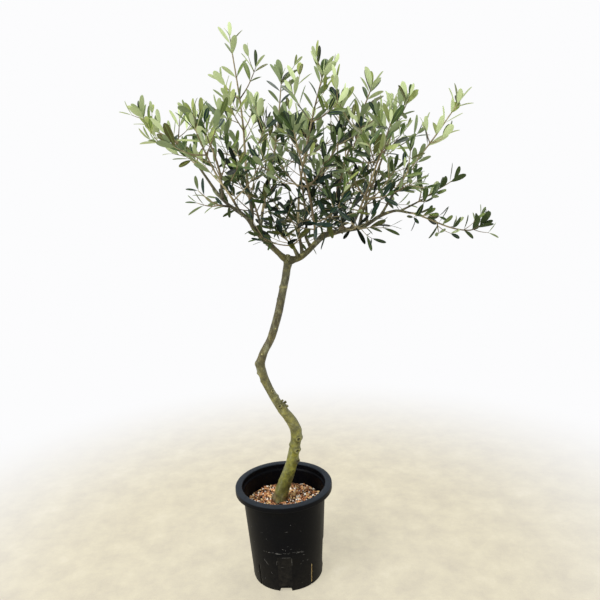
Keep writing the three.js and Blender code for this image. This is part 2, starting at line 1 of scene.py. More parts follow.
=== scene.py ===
# %% [markdown]
# A young olive tree in a black nursery pot.
# The real thing stands about 1.66 m high: a crooked green trunk, two boughs that lean apart from one
# fork, and a loose crown of narrow leathery leaves, grey-green above and silver below. The packed
# model gives every place and size. This file dresses it: it replaces the plain solids by a moulded
# pot, loose grit, bark with knots, fine twigs and about 1,750 leaves of real size.
# Every length in the tables below is in millimetres, and one factor turns them to metres.

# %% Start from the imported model
import math

import bmesh
import bpy
import numpy as np
from mathutils import Matrix, Vector


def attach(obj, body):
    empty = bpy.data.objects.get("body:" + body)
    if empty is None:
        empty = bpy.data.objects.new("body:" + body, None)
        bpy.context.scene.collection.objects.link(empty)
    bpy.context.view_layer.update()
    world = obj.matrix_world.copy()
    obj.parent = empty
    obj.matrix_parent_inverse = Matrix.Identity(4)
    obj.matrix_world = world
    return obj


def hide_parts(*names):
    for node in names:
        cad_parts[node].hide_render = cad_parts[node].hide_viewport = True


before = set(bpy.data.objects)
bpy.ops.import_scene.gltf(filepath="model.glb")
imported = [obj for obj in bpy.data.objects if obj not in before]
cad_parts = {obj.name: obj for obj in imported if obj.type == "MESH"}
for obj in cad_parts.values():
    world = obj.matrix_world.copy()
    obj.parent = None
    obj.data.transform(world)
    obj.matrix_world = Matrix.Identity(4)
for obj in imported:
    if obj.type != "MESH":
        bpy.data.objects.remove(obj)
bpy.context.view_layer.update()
MM = 0.001

# %% [markdown]
# The camera.
# The photograph was taken from a little above the pot's rim, looking slightly down and turned a
# few degrees. A lens whose focal length equals the width of its sensor gives the same perspective.
# The camera's three axes are worked out from its pitch, turn and roll.

# %% The camera
CAMERA_AT = (0, -1.756, 1.232)
PITCH, TURN, ROLL = (math.radians(angle) for angle in (11.03, 2.61, -2.80))
LENS = 36


def camera_axes():
    """Ahead from pitch and turn; right is level; up is square to both; then both turn by the roll."""
    ahead = Vector((math.sin(TURN) * math.cos(PITCH), math.cos(TURN) * math.cos(PITCH), -math.sin(PITCH)))
    right = Vector((math.cos(TURN), -math.sin(TURN), 0))
    up = right.cross(ahead)
    rolled_right = right * math.cos(ROLL) + up * math.sin(ROLL)
    rolled_up = up * math.cos(ROLL) - right * math.sin(ROLL)
    return rolled_right, rolled_up, -ahead


camera_data = bpy.data.cameras.new("camera")
camera_data.lens = LENS
camera_data.sensor_width = LENS
camera = bpy.data.objects.new("camera", camera_data)
camera.matrix_world = Matrix.Translation(CAMERA_AT) @ Matrix(camera_axes()).transposed().to_4x4()
bpy.context.scene.collection.objects.link(camera)
bpy.context.scene.camera = camera
print("camera at", CAMERA_AT)

# %% [markdown]
# Colours and nodes.
# Colours are written as sRGB hex values, as a picker shows them, and one function turns them to the
# linear values that shaders need. One small function adds a node with its settings, its ramp's stops
# and its links, and gives back the output that comes next in the chain.

# %% Colours and nodes


def linear(hex_colour):
    """sRGB to linear: c / 12.92 below 0.04045, else ((c + 0.055) / 1.055) to the power 2.4."""
    parts = np.array([int(hex_colour[i:i + 2], 16) for i in (1, 3, 5)]) / 255
    values = np.where(parts <= 0.04045, parts / 12.92, ((parts + 0.055) / 1.055) ** 2.4)
    return (*values.tolist(), 1.0)


def feed(node, **inputs):
    """Fills inputs with a value, a hex colour or another node's output. _0 names a socket by its place."""
    for name, value in inputs.items():
        sockets = [socket for socket in node.inputs if socket.enabled]
        named = [socket for socket in sockets if socket.name == name.replace("_", " ")]
        socket = named[0] if named else sockets[int(name[1:])]
        if isinstance(value, bpy.types.NodeSocket):
            node.id_data.links.new(value, socket)
        else:
            socket.default_value = linear(value) if isinstance(value, str) else value


def add_node(tree, kind, settings=None, out=None, stops=(), **inputs):
    """Adds one node and gives its first output in use, or the one named out."""
    node = tree.nodes.new("ShaderNode" + kind)
    for name, value in (settings or {}).items():
        setattr(node, name, value)
    for number, (place, colour) in enumerate(stops):
        elements = node.color_ramp.elements
        element = elements[number] if number < 2 else elements.new(place)
        element.position = place
        element.color = linear(colour)
    feed(node, **inputs)
    return node.outputs[out] if out else next(socket for socket in node.outputs if socket.enabled)


def new_finish(name, **surface):
    """A material whose shader holds the numbers that are the same all over it, and its object coordinates."""
    finish = bpy.data.materials.new(name)
    finish.use_nodes = True
    tree = finish.node_tree
    shader = tree.nodes["Principled BSDF"]
    feed(shader, **surface)
    return finish, tree, shader, add_node(tree, "TexCoord", out="Object")


MIX = {"data_type": "RGBA"}
OVERLAY = {"data_type": "RGBA", "blend_type": "OVERLAY"}

# %% [markdown]
# Meshes from arrays.
# A shape here is a grid of points, worked out as one array, with faces between its rows and
# columns. A small collector joins many grids into one mesh, since the twigs, leaves and stones are
# counted in thousands, and a separate object for each would be slow.

# %% Meshes from arrays
SAME_SPOT = 1e-6


class Collector:
    """Joins arrays of points and faces into one mesh. Each block of faces has a material slot."""

    def __init__(self):
        self.points = []
        self.faces = []
        self.slots = []
        self.count = 0

    def add(self, points, *blocks, slots=0):
        """Adds points and blocks of faces that count from the first of them."""
        points = np.reshape(points, (-1, 3))
        for block in blocks:
            self.faces.append(np.asarray(block) + self.count)
            self.slots.append(np.broadcast_to(slots, len(block)))
        self.points.append(points)
        self.count += len(points)

    def piece(self, name, finishes, smooth=True, marks=None, tidy=False, margins=None):
        """The mesh object, in metres. marks are named arrays with one number for each point."""
        sizes = np.concatenate([np.full(len(block), block.shape[1]) for block in self.faces])
        mesh = bpy.data.meshes.new(name)
        mesh.vertices.add(self.count)
        mesh.vertices.foreach_set("co", (np.concatenate(self.points) * MM).astype(np.float32).ravel())
        corners = np.concatenate([block.ravel() for block in self.faces])
        mesh.loops.add(len(corners))
        mesh.loops.foreach_set("vertex_index", corners.astype(np.int32))
        mesh.polygons.add(len(sizes))
        mesh.polygons.foreach_set("loop_start", (np.cumsum(sizes) - sizes).astype(np.int32))
        mesh.polygons.foreach_set("material_index", np.concatenate(self.slots).astype(np.int32))
        mesh.polygons.foreach_set("use_smooth", np.full(len(sizes), smooth))
        for finish in finishes:
            mesh.materials.append(finish)
        for mark, values in (marks or {}).items():
            mesh.attributes.new(mark, "FLOAT", "POINT").data.foreach_set("value", values.astype(np.float32))
        mesh.update(calc_edges=True)
        if margins:
            crease(mesh, *margins)
        if tidy:
            close_seams(mesh)
        made = bpy.data.objects.new(name, mesh)
        bpy.context.scene.collection.objects.link(made)
        return made


def crease(mesh, each, margin):
    """Marks edges sharp where both ends are margin points of a shape that repeats after each points."""
    ends = np.empty(len(mesh.edges) * 2, np.int32)
    mesh.edges.foreach_get("vertices", ends)
    sharp = np.isin(ends.reshape(-1, 2) % each, margin).all(1)
    mesh.attributes.new("sharp_edge", "BOOLEAN", "EDGE").data.foreach_set("value", sharp)


def close_seams(mesh):
    """Merges points that lie on one spot, so that poles close, and drops points that no face uses."""
    work = bmesh.new()
    work.from_mesh(mesh)
    bmesh.ops.remove_doubles(work, verts=work.verts, dist=SAME_SPOT)
    bmesh.ops.delete(work, geom=[v for v in work.verts if not v.link_faces], context="VERTS")
    work.to_mesh(mesh)
    work.free()


def grid_faces(rows, columns):
    """Quads between neighbours of a grid, row by row, whose last column joins the first."""
    number = np.arange(rows * columns).reshape(rows, columns)
    beside = np.roll(number, -1, 1)
    return np.stack([number[:-1], beside[:-1], beside[1:], number[1:]], -1).reshape(-1, 4)


def fan_faces(ring, middle):
    """Triangles from each edge of a closed ring to a middle point."""
    ring = np.asarray(ring)
    return np.stack([ring, np.roll(ring, -1), np.full(len(ring), middle)], -1)


def unit(vectors):
    """Vectors scaled to length one."""
    return vectors / np.linalg.norm(vectors, axis=-1, keepdims=True)


def around(count):
    """Even turns round a circle, without the last, which would fall on the first."""
    return np.linspace(0, 2 * np.pi, count, endpoint=False)


def settle(piece, slot, *nodes):
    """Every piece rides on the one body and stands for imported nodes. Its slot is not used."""
    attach(piece, "root")
    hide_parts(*nodes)
    return piece


# %% [markdown]
# The floor and the light.
# The tree stands on pale concrete, in soft daylight from the upper left. A wide disc that turns from
# concrete to the white of the background some way out has no edge, so it looks the same from every
# side. The concrete glows a little of its own colour, or its shaded half would look too dark beside
# the white. The surround is white near the horizon and dimmer overhead, where two large soft lamps
# take its place, so leaves shade each other as in daylight.

# %% The floor and the light
BACKDROP, ROOF = "#fcfcfd", "#9fa2a6"
ROOF_FROM, ROOF_FULL = 0.29, 0.38
CONCRETE = ("#c6c1b2", "#ccc7b9", "#d2cdc0")
FLOOR_RADIUS, FLOOR_CORNERS, FLOOR_BELOW_FOOT = 4000, 96, 0.2
FLOOR_FADE = (0.6, 1.9)
FLOOR_GLOW, FLOOR_SHADE = 1.0, 0.5
# Name, place, what it is turned to, size in metres and power in watts.
LAMPS = [
    ("key_lamp", (-1.9, -1.7, 3.3), (0.1, 0, 0.9), 2.0, 116),
    ("top_lamp", (0.5, 0.5, 3.7), (0.1, 0, 1.2), 2.2, 58),
]

floor_finish, tree, shader, place = new_finish("floor_pale_concrete", Roughness=0.9, Specular_IOR_Level=0.2)
cloud_noise = add_node(tree, "TexNoise", Vector=place, Scale=9, Detail=6, Roughness=0.7)
clouds = add_node(tree, "ValToRGB", stops=zip((0.3, 0.5, 0.7), CONCRETE), Fac=cloud_noise)
grain_noise = add_node(tree, "TexNoise", Vector=place, Scale=260, Detail=3, Roughness=0.7)
grains = add_node(tree, "ValToRGB", stops=[(0.3, "#747474"), (0.7, "#8b8b8b")], Fac=grain_noise)
concrete = add_node(tree, "Mix", OVERLAY, Factor=0.5, A=clouds, B=grains)
shaded = add_node(tree, "Mix", MIX, Factor=FLOOR_SHADE, A=concrete, B="#000000")
feed(shader, Base_Color=shaded, Emission_Color=concrete, Emission_Strength=FLOOR_GLOW)
far = add_node(tree, "VectorMath", {"operation": "LENGTH"}, _0=place)
fade = add_node(tree, "MapRange", {"interpolation_type": "SMOOTHSTEP"}, Value=far,
                From_Min=FLOOR_FADE[0], From_Max=FLOOR_FADE[1])
glow = add_node(tree, "Emission", Color=BACKDROP, Strength=1.0)
both = add_node(tree, "MixShader", Fac=fade, _1=shader.outputs["BSDF"], _2=glow)
feed(tree.nodes["Material Output"], Surface=both)

turns = around(FLOOR_CORNERS)
floor = Collector()
edge = np.stack([np.cos(turns), np.sin(turns), 0 * turns], -1) * FLOOR_RADIUS
floor.add(np.concatenate([edge, [[0, 0, 0]]]), fan_faces(np.arange(FLOOR_CORNERS), FLOOR_CORNERS))
floor_disc = floor.piece("floor_disc", [floor_finish], smooth=False)
floor_disc.location.z = -FLOOR_BELOW_FOOT * MM

world = bpy.data.worlds.new("studio")
bpy.context.scene.world = world
world.use_nodes = True
tree = world.node_tree
upward = add_node(tree, "SeparateXYZ", out="Z", Vector=add_node(tree, "TexCoord", out="Generated"))
sky = add_node(tree, "ValToRGB", stops=[(ROOF_FROM, BACKDROP), (ROOF_FULL, ROOF)], Fac=upward)
feed(tree.nodes["Background"], Color=sky)
bpy.context.scene.view_settings.view_transform = "Standard"


def soft_lamp(name, place, aim, size, power):
    """A square area lamp at a place, turned to its aim."""
    data = bpy.data.lights.new(name, "AREA")
    data.size = size
    data.energy = power
    lamp = bpy.data.objects.new(name, data)
    turn = (Vector(aim) - Vector(place)).to_track_quat("-Z", "Y")
    lamp.matrix_world = Matrix.Translation(place) @ turn.to_matrix().to_4x4()
    bpy.context.scene.collection.objects.link(lamp)


for lamp in LAMPS:
    soft_lamp(*lamp)
print("floor of", 2 * FLOOR_RADIUS * MM, "m and", len(LAMPS), "lamps")

# %% [markdown]
# The pot.
# A nursery pot is injection-moulded polypropylene: one wall of even thickness, turned about an
# axis, with a rim that goes out and down so that it can be gripped and stacked. Slits and notches
# at the foot let water out. The wall is drawn as two grids of points, one for each face, and cells
# are left out where the mould leaves a hole. The edges of the holes are then bridged.

# %% The pot's outline
POT_HEIGHT, RIM_RADIUS, RIM_INSIDE, RIM_DROP = 305, 152.4, 131.6, 17.5
BASE_RADIUS, BASE_EDGE_Z, WALL_TOP_RADIUS, SHOULDER_Z = 111, 3.6, 129.8, 281
WALL, FLOOR_THICK, POT_TURN = 2.2, 3, math.radians(-6)
NOTCH = {"width": 38, "height": 15, "side": 6, "depth": 16, "spread": 24}
PANEL = {"low": 16, "high": 119, "edge": 0.8, "depth": 2.3, "turn": 10.4, "side": 0.5}
SLIT = {"width": 4, "top": 74, "turn": 45}
QUARTERS = np.arange(4) * 90.0
# Rows of the wall, from, to and every so many millimetres: close together beside the notches.
ROW_BANDS = [(BASE_EDGE_Z, 24, 1.9), (26, 72, 4.0), (78, 116, 4.0), (123, 280, 9.0)]
ROW_SLANT, WALL_FROM, CALM = 1.8, 100, 26
TURN_STEP, TURN_APART = 2.0, 0.7


def wall_radius(height):
    """The outer face of the wall, a straight taper from foot to shoulder."""
    return np.interp(height, [BASE_EDGE_Z, SHOULDER_Z], [BASE_RADIUS, WALL_TOP_RADIUS])


def pot_rows():
    """Pairs of under and upper points, as (radius, height), from the middle out, up and over the rim."""
    foot = [(r, 0, r, FLOOR_THICK) for r in (0, 40, 80, BASE_RADIUS - NOTCH["depth"])]
    foot += [(103, 0, 102, FLOOR_THICK), (107.5, 0, 106, FLOOR_THICK), (110.2, 1, 108, FLOOR_THICK + 1.2)]
    edges = [PANEL["high"] - PANEL["edge"], PANEL["high"], SLIT["top"]]
    heights = np.sort(np.concatenate([*(np.arange(*band) for band in ROW_BANDS), edges]))
    wall = [(wall_radius(z), z, wall_radius(z) - WALL, z + ROW_SLANT) for z in heights]
    top, lip, inside, full = POT_HEIGHT, RIM_RADIUS - WALL - 0.2, RIM_INSIDE, RIM_RADIUS
    rim = [
        (129.8, 281, 127.4, 283), (130.6, 283.2, 128, 285), (133, 285.6, 130.6, 287),
        (133.8, 287.6, 131.2, 289), (134, 298, inside, 300), (134.2, 301.2, inside + 0.1, 303.2),
        (135, 302.3, inside + 0.8, 304.5), (137, 302.6, inside + 2.2, top), (142, 302.6, 141, top),
        (147, 302.6, full - 2.6, top),
        (lip - 0.8, 302, full - 0.9, 304.4), (lip, 300.5, full - 0.1, 303), (lip, 296, full, 298),
        (lip, 290, full, 290), (lip, top - RIM_DROP, full - 0.2, top - RIM_DROP),
    ]
    return np.array(foot + wall + rim)


def pot_turns():
    """Turns round the pot in degrees: even steps, and one on each edge of a slit or notch."""
    even = np.arange(0, 360, TURN_STEP)
    slit = math.degrees(SLIT["width"] / 2 / wall_radius(40))
    edge = math.degrees(math.asin(NOTCH["width"] / 2 / BASE_RADIUS))
    panel = (PANEL["turn"], PANEL["turn"] + PANEL["side"])
    exact = [(q + SLIT["turn"] + s * slit) % 360 for q in QUARTERS for s in (-1, 1)]
    exact += [(q + s * turn) % 360 for q in QUARTERS for s in (-1, 1) for turn in (edge, *panel)]
    apart = np.abs((even[:, None] - np.array(exact) + 180) % 360 - 180).min(1)
    return np.sort(np.concatenate([even[apart > TURN_APART], exact]))


# %% [markdown]
# The arch of a notch would be stepped if cells were just left out, so the rows beside it bend to
# follow the arch. A panel over each notch is flat where the wall is round.

# %% The pot's wall


def arch_height(aside):
    """The notch's outline: straight sides, then a quarter of an ellipse, and flat on top."""
    half, bend = NOTCH["width"] / 2, NOTCH["height"] - NOTCH["side"]
    into = np.clip((half - np.abs(aside)) / bend, 0, 1)
    inside = NOTCH["side"] + bend * np.sqrt(1 - (1 - into) ** 2)
    beyond = np.clip((np.abs(aside) - half) / NOTCH["spread"], 0, 1)
    return np.where(np.abs(aside) <= half + 0.01, inside, NOTCH["side"] + bend * beyond)


def pot_grids():
    """Both faces of the wall: columns by turn, rows by the outline; x, y = radius * (sin, -cos) turn.

    Rows lower than the notch are squeezed under its arch and the ones above it spread, and a panel
    takes from the radius what it has beyond a flat plane, radius / cos(turn from the notch).
    """
    turn = np.radians(pot_turns())[:, None]
    from_notch = (turn + np.pi / 4) % (np.pi / 2) - np.pi / 4
    aside = np.sin(from_notch) * BASE_RADIUS
    beyond = np.clip((np.abs(np.degrees(from_notch)) - PANEL["turn"]) / PANEL["side"], 0, 1)
    rows = pot_rows()
    faces, panel_marks = [], []
    for radius, height in ((rows[:, 0], rows[:, 1]), (rows[:, 2], rows[:, 3])):
        radius, height = radius[None], height[None] + 0 * turn
        arch = arch_height(aside)
        low = height * arch / NOTCH["height"]
        high = arch + (height - NOTCH["height"]) * (CALM - arch) / (CALM - NOTCH["height"])
        on_wall = (radius > wall_radius(0) - WALL - 2) & (height < CALM) & (height > FLOOR_THICK + 1.3)
        height = np.where(on_wall, np.where(height < NOTCH["height"], low, high), height)
        level = np.clip((height - PANEL["low"]) / PANEL["edge"], 0, 1)
        level = level * np.clip((PANEL["high"] - height) / PANEL["edge"], 0, 1)
        level = level * (1 - beyond) * (radius > WALL_FROM)
        flat = (radius - PANEL["depth"]) / np.cos(from_notch)
        radius = radius - level * np.clip(radius - flat, 0, PANEL["depth"])
        angle = turn + POT_TURN
        faces.append(np.stack([radius * np.sin(angle), -radius * np.cos(angle), height], -1))
        panel_marks.append(level)
    return faces, np.stack(panel_marks), rows


def kept_cells(rows):
    """Which cells of the wall the mould fills: not those in a notch or a slit."""
    turns_deg = pot_turns()
    centre = turns_deg + ((np.roll(turns_deg, -1) - turns_deg) % 360) / 2
    in_notch = np.abs((centre + 45) % 90 - 45) < math.degrees(math.asin(NOTCH["width"] / 2 / BASE_RADIUS))
    in_slit = np.abs(centre % 90 - 45) < 0.5
    middle = (rows[:-1] + rows[1:]) / 2
    at_foot = (middle[:, 1] < NOTCH["height"]) & (middle[:, 0] > BASE_RADIUS - NOTCH["depth"])
    at_slit = (middle[:, 1] < SLIT["top"]) & (middle[:, 0] > WALL_FROM)
    return ~((in_notch[:, None] & at_foot) | (in_slit[:, None] & at_slit))


def bridged(outer, inner, keep):
    """Quads of a wall between two grids that share rows and columns, with its open edges bridged."""
    columns, rows = outer.shape[:2]
    number = np.arange(columns * rows).reshape(columns, rows)
    beside = np.roll(number, -1, 0)
    cell = np.stack([number[:, :-1], beside[:, :-1], beside[:, 1:], number[:, 1:]], -1)
    step = columns * rows
    quads = [cell[keep], cell[keep][:, ::-1] + step]
    gone = ~keep
    edge_row = np.ones((columns, 1), bool)
    above = np.concatenate([gone[:, 1:], edge_row], 1)
    below = np.concatenate([~edge_row, gone[:, :-1]], 1)
    sides = [(1, 2, np.roll(gone, -1, 0)), (3, 0, np.roll(gone, 1, 0)), (2, 3, above), (0, 1, below)]
    for a, b, open_side in sides:
        first, second = cell[keep & open_side][:, [a, b]].T
        quads.append(np.stack([second, first, first + step, second + step], -1))
    return np.concatenate(quads)


# %% [markdown]
# Behind each notch the mould has a cup that keeps the grit in, so that only the floor shows under
# the arch. It is one more pair of grids, from the middle of its back wall out to the pot's wall.

# %% The cups behind the notches
# How much wider than the notch each face of a cup is, and how far behind the inner one it stands.
CUP_FACES = ((2.6, 1.6), (0.8, 0))
CUP_COLUMNS = 17


def turned_round(points, turn):
    """Points turned about the upright axis, from the front to the right."""
    x, y, z = np.moveaxis(points, -1, 0)
    return np.stack([x * np.cos(turn) - y * np.sin(turn), x * np.sin(turn) + y * np.cos(turn), z], -1)


def cup_grids():
    """Both faces of a cup: an arch, width * root of cos by height * root of sin, swept outwards.

    Its first row is one point in the middle of its back wall, and its last lies in the pot's wall.
    """
    sweep = np.linspace(0, np.pi, CUP_COLUMNS)
    faces = []
    for wider, behind in CUP_FACES:
        x = (NOTCH["width"] / 2 + wider) * np.sign(np.cos(sweep)) * np.abs(np.cos(sweep)) ** 0.5
        z = (NOTCH["height"] + wider) * np.sin(sweep) ** 0.5
        far = BASE_RADIUS - NOTCH["depth"] - behind + 0 * x
        near = np.sqrt(wall_radius(z) ** 2 - x**2) - WALL / 2
        rows = [(0 * x, far, 0 * z), (x, far, z), (x, near, z)]
        faces.append(np.stack([np.stack([a, -b, c], -1) for a, b, c in rows], 1))
    return faces


def add_cups(collector):
    """One cup behind each notch. Its arch ends at the floor, so its last column of cells is left out."""
    outer, inner = cup_grids()
    keep = np.ones((outer.shape[0], 2), bool)
    keep[-1] = False
    for quarter in np.radians(QUARTERS):
        points = [turned_round(face, quarter + POT_TURN).reshape(-1, 3) for face in (outer, inner)]
        collector.add(np.concatenate(points), bridged(outer, inner, keep), slots=1)


# %% [markdown]
# Black polypropylene straight from the mould is satin, neither matt nor glossy. Its index of
# refraction is 1.49, but its skin is finely grained, so it shines less than a polished block would.
# This pot has been in use: dust lies near its foot and on its panels, fine scratches run round it,
# and the black drifts between a bluish and a brownish tone over some centimetres. The top face of
# the rim is painted a lighter bluish grey, a painted reflection of the sky.

# %% The pot's plastic
BLACKS = [(0.36, "#04050a"), (0.52, "#06070b"), (0.68, "#0d0c0c")]
# The rim's grey is a painted reflection of the sky, laid on the top face of the rim.
RIM_SKY_REFLECTION, DUST, SCRATCH, SPECK = "#2b3036", "#33302b", "#77777a", "#8b8880"
WALL_SHINE, CUP_SHINE = 0.085, 0.01


def moulded_plastic(name, shine):
    """Satin black with a painted sky reflection on the rim's top, dust low down and on panels, rings of
    scratches and specks.
    """
    finish, tree, shader, place = new_finish(name, IOR=1.49, Specular_IOR_Level=shine)
    height = add_node(tree, "SeparateXYZ", out="Z", Vector=place)
    cloud = add_node(tree, "TexNoise", Vector=place, Scale=16, Detail=5, Roughness=0.65)
    black = add_node(tree, "ValToRGB", stops=BLACKS, Fac=cloud)
    # The top face of the rim is painted lighter: a painted reflection of the sky.
    rim_reflection_share = add_node(tree, "MapRange", Value=height, From_Min=0.3005, From_Max=0.3045)
    with_rim_reflection = add_node(tree, "Mix", MIX, Factor=rim_reflection_share, A=black, B=RIM_SKY_REFLECTION)
    panel = add_node(tree, "Attribute", {"attribute_name": "panel"}, out="Fac")
    foot = add_node(tree, "MapRange", Value=height, From_Min=0.15, From_Max=0.0, To_Max=0.4)
    laid = add_node(tree, "Math", {"operation": "MULTIPLY_ADD"}, _0=panel, _1=0.34, _2=foot)
    drift_noise = add_node(tree, "TexNoise", Vector=place, Scale=75, Detail=5, Roughness=0.7)
    drift = add_node(tree, "ValToRGB", stops=[(0.3, "#3a3a3a"), (0.7, "#ffffff")], Fac=drift_noise)
    dust = add_node(tree, "Math", {"operation": "MULTIPLY"}, _0=laid, _1=drift)
    dusty = add_node(tree, "Mix", MIX, Factor=dust, A=with_rim_reflection, B=DUST)
    ring_place = add_node(tree, "Mapping", Vector=place, Scale=(26, 26, 520))
    ring_noise = add_node(tree, "TexNoise", Vector=ring_place, Scale=1.2, Detail=2, Roughness=0.7)
    scratches = add_node(tree, "ValToRGB", stops=[(0.64, "#000000"), (0.76, "#2c2c2c")], Fac=ring_noise)
    scratched = add_node(tree, "Mix", MIX, Factor=scratches, A=dusty, B=SCRATCH)
    speck_noise = add_node(tree, "TexNoise", Vector=place, Scale=310, Detail=2, Roughness=0.5)
    specks = add_node(tree, "ValToRGB", stops=[(0.69, "#000000"), (0.77, "#5a5a5a")], Fac=speck_noise)
    colour = add_node(tree, "Mix", MIX, Factor=specks, A=scratched, B=SPECK)
    sheen = add_node(tree, "MapRange", Value=cloud, To_Min=0.34, To_Max=0.56)
    skin = add_node(tree, "TexNoise", Vector=place, Scale=420, Detail=3, Roughness=0.6)
    bumps = add_node(tree, "Bump", Height=skin, Distance=0.0001)
    feed(shader, Base_Color=colour, Roughness=sheen, Normal=bumps)
    return finish


pot_finishes = [moulded_plastic("black_polypropylene_moulded", WALL_SHINE),
                moulded_plastic("black_polypropylene_in_shade", CUP_SHINE)]
(outer, inner), panel_marks, rows = pot_grids()
pot = Collector()
pot.add(np.concatenate([outer.reshape(-1, 3), inner.reshape(-1, 3)]), bridged(outer, inner, kept_cells(rows)))
add_cups(pot)
marks = {"panel": np.pad(panel_marks.ravel(), (0, pot.count - panel_marks.size))}
pot_shell = settle(pot.piece("pot_shell", pot_finishes, marks=marks, tidy=True), "pot_plastic", "pot")
print("pot:", len(pot_shell.data.polygons), "faces")

# %% [markdown]
# Scuffs and edge highlights. Where black polypropylene is scraped it turns pale, and short raised
# slivers stay on the wall. A line of them runs round just above the panels, where pots rub when they
# are stacked. Three pale slivers along the top and side edges of the front panel are painted
# highlights on those edges, not scrapes.

# %% Scuffs and painted edge highlights on the wall
# Turn from the front in degrees, height, length, width and slope in degrees.
SCUFFS_AND_EDGE_HIGHLIGHTS = [
    (-35, 97, 25, 1.4, -48), (-13, 133, 20, 1.6, 1), (16, 133, 16, 1.6, 4), (22, 131, 11, 1.3, -8),
    (-27, 62, 9, 0.8, -60), (31, 96, 6, 0.9, 30), (-41, 34, 8, 0.7, 50), (20, 205, 4, 0.8, 10),
    # (-2.5, 119.6), (5.4, 103) and (-17.6, 100) lie on the front panel's edges: painted highlights, not
    # scrapes.
    (-30, 180, 5, 0.7, -20), (6, 232, 3.5, 0.9, 0), (-2.5, 119.6, 31, 0.8, 0), (5.4, 103, 31, 0.9, 90),
    (-3, 145, 6, 1.1, 70), (-7, 150, 7, 1.1, -30), (5, 148, 5, 1.0, 20), (-17.6, 100, 16, 0.5, 90),
]
RUB_LINE = {"from": -36, "to": 24, "every": 3.6, "height": 135}
RUB_STRAY = {"turn": 0.8, "height": 0.9, "long": (3, 9), "wide": (0.7, 1.3), "slope": 6}
CHANCE_SCUFFS = {"count": 46, "from": 22, "over": 230, "long": (2.5, 9), "wide": (0.4, 0.9), "slope": 32}
SLIVER_RINGS = 7
# Corners of a sliver's ring, as shares of its width and millimetres out of the wall.
SLIVER_RING = np.array([[-0.5, -0.3], [0.5, -0.3], [0.5, 0.1], [-0.5, 0.1]])


def sliver(turn, height, long, wide, slope):
    """Rings of four corners, half in the wall, half proud; the width falls as the square from the middle."""
    along = np.linspace(-0.5, 0.5, SLIVER_RINGS)[:, None] * long
    across = SLIVER_RING[None, :, 0] * wide * (1.02 - (2 * along / long) ** 2)
    tilt = math.radians(slope)
    z = height + along * math.sin(tilt) + across * math.cos(tilt)
    radius = wall_radius(z) + SLIVER_RING[None, :, 1]
    angle = math.radians(turn) + (along * math.cos(tilt) - across * math.sin(tilt)) / wall_radius(height)
    return np.stack([radius * np.sin(angle), -radius * np.cos(angle), z], -1)


def closed_tube(collector, grid):
    """Adds rings with faces between them and a fan over each end."""
    rows, columns = grid.shape[:2]
    points = np.concatenate([grid.reshape(-1, 3), grid[:1].mean(1), grid[-1:].mean(1)])
    foot, top = np.arange(columns), np.arange(columns) + (rows - 1) * columns
    ends = np.concatenate([fan_faces(foot[::-1], rows * columns), fan_faces(top, rows * columns + 1)])
    collector.add(points, grid_faces(rows, columns), ends)
    return len(points)


chance = np.random.default_rng(5)
slivers = [sliver(*listed_sliver) for listed_sliver in SCUFFS_AND_EDGE_HIGHLIGHTS]
for place in np.arange(RUB_LINE["from"], RUB_LINE["to"], RUB_LINE["every"]):
    turn = place + chance.normal(0, RUB_STRAY["turn"])
    height = RUB_LINE["height"] + chance.normal(0, RUB_STRAY["height"])
    long, wide = chance.uniform(*RUB_STRAY["long"]), chance.uniform(*RUB_STRAY["wide"])
    slivers.append(sliver(turn, height, long, wide, chance.normal(0, RUB_STRAY["slope"])))
for _ in range(CHANCE_SCUFFS["count"]):
    height = CHANCE_SCUFFS["from"] + CHANCE_SCUFFS["over"] * chance.uniform() ** 1.7
    turn = chance.uniform(-180, 180)
    long, wide = chance.uniform(*CHANCE_SCUFFS["long"]), chance.uniform(*CHANCE_SCUFFS["wide"])
    slivers.append(sliver(turn, height, long, wide, chance.normal(0, CHANCE_SCUFFS["slope"])))
scuffs_and_highlights = Collector()
for grid in slivers:
    closed_tube(scuffs_and_highlights, grid)
# This pale finish also paints the highlights along the front panel's edges.
scuff_and_highlight_finish, tree, shader, place = new_finish("polypropylene_scraped_pale_and_edge_highlights", IOR=1.49, Roughness=0.7)
wear = add_node(tree, "TexNoise", Vector=place, Scale=240, Detail=3, Roughness=0.55)
feed(shader, Base_Color=add_node(tree, "ValToRGB", stops=[(0.35, "#333332"), (0.6, "#74736f")], Fac=wear))
settle(scuffs_and_highlights.piece("pot_scuffs_and_edge_highlights", [scuff_and_highlight_finish]), "pot_plastic", "pot")
print("scuffs:", len(slivers))

# %% [markdown]
# The limbs, as in the solids.
# The crown follows the same rule as the plain model: a trunk, boughs that leave it at shares of its
# length, and one stem for each mass of foliage, all on smooth curves through a few measured points.
# The rule is repeated here, so that every twig grows from where the solids have it.

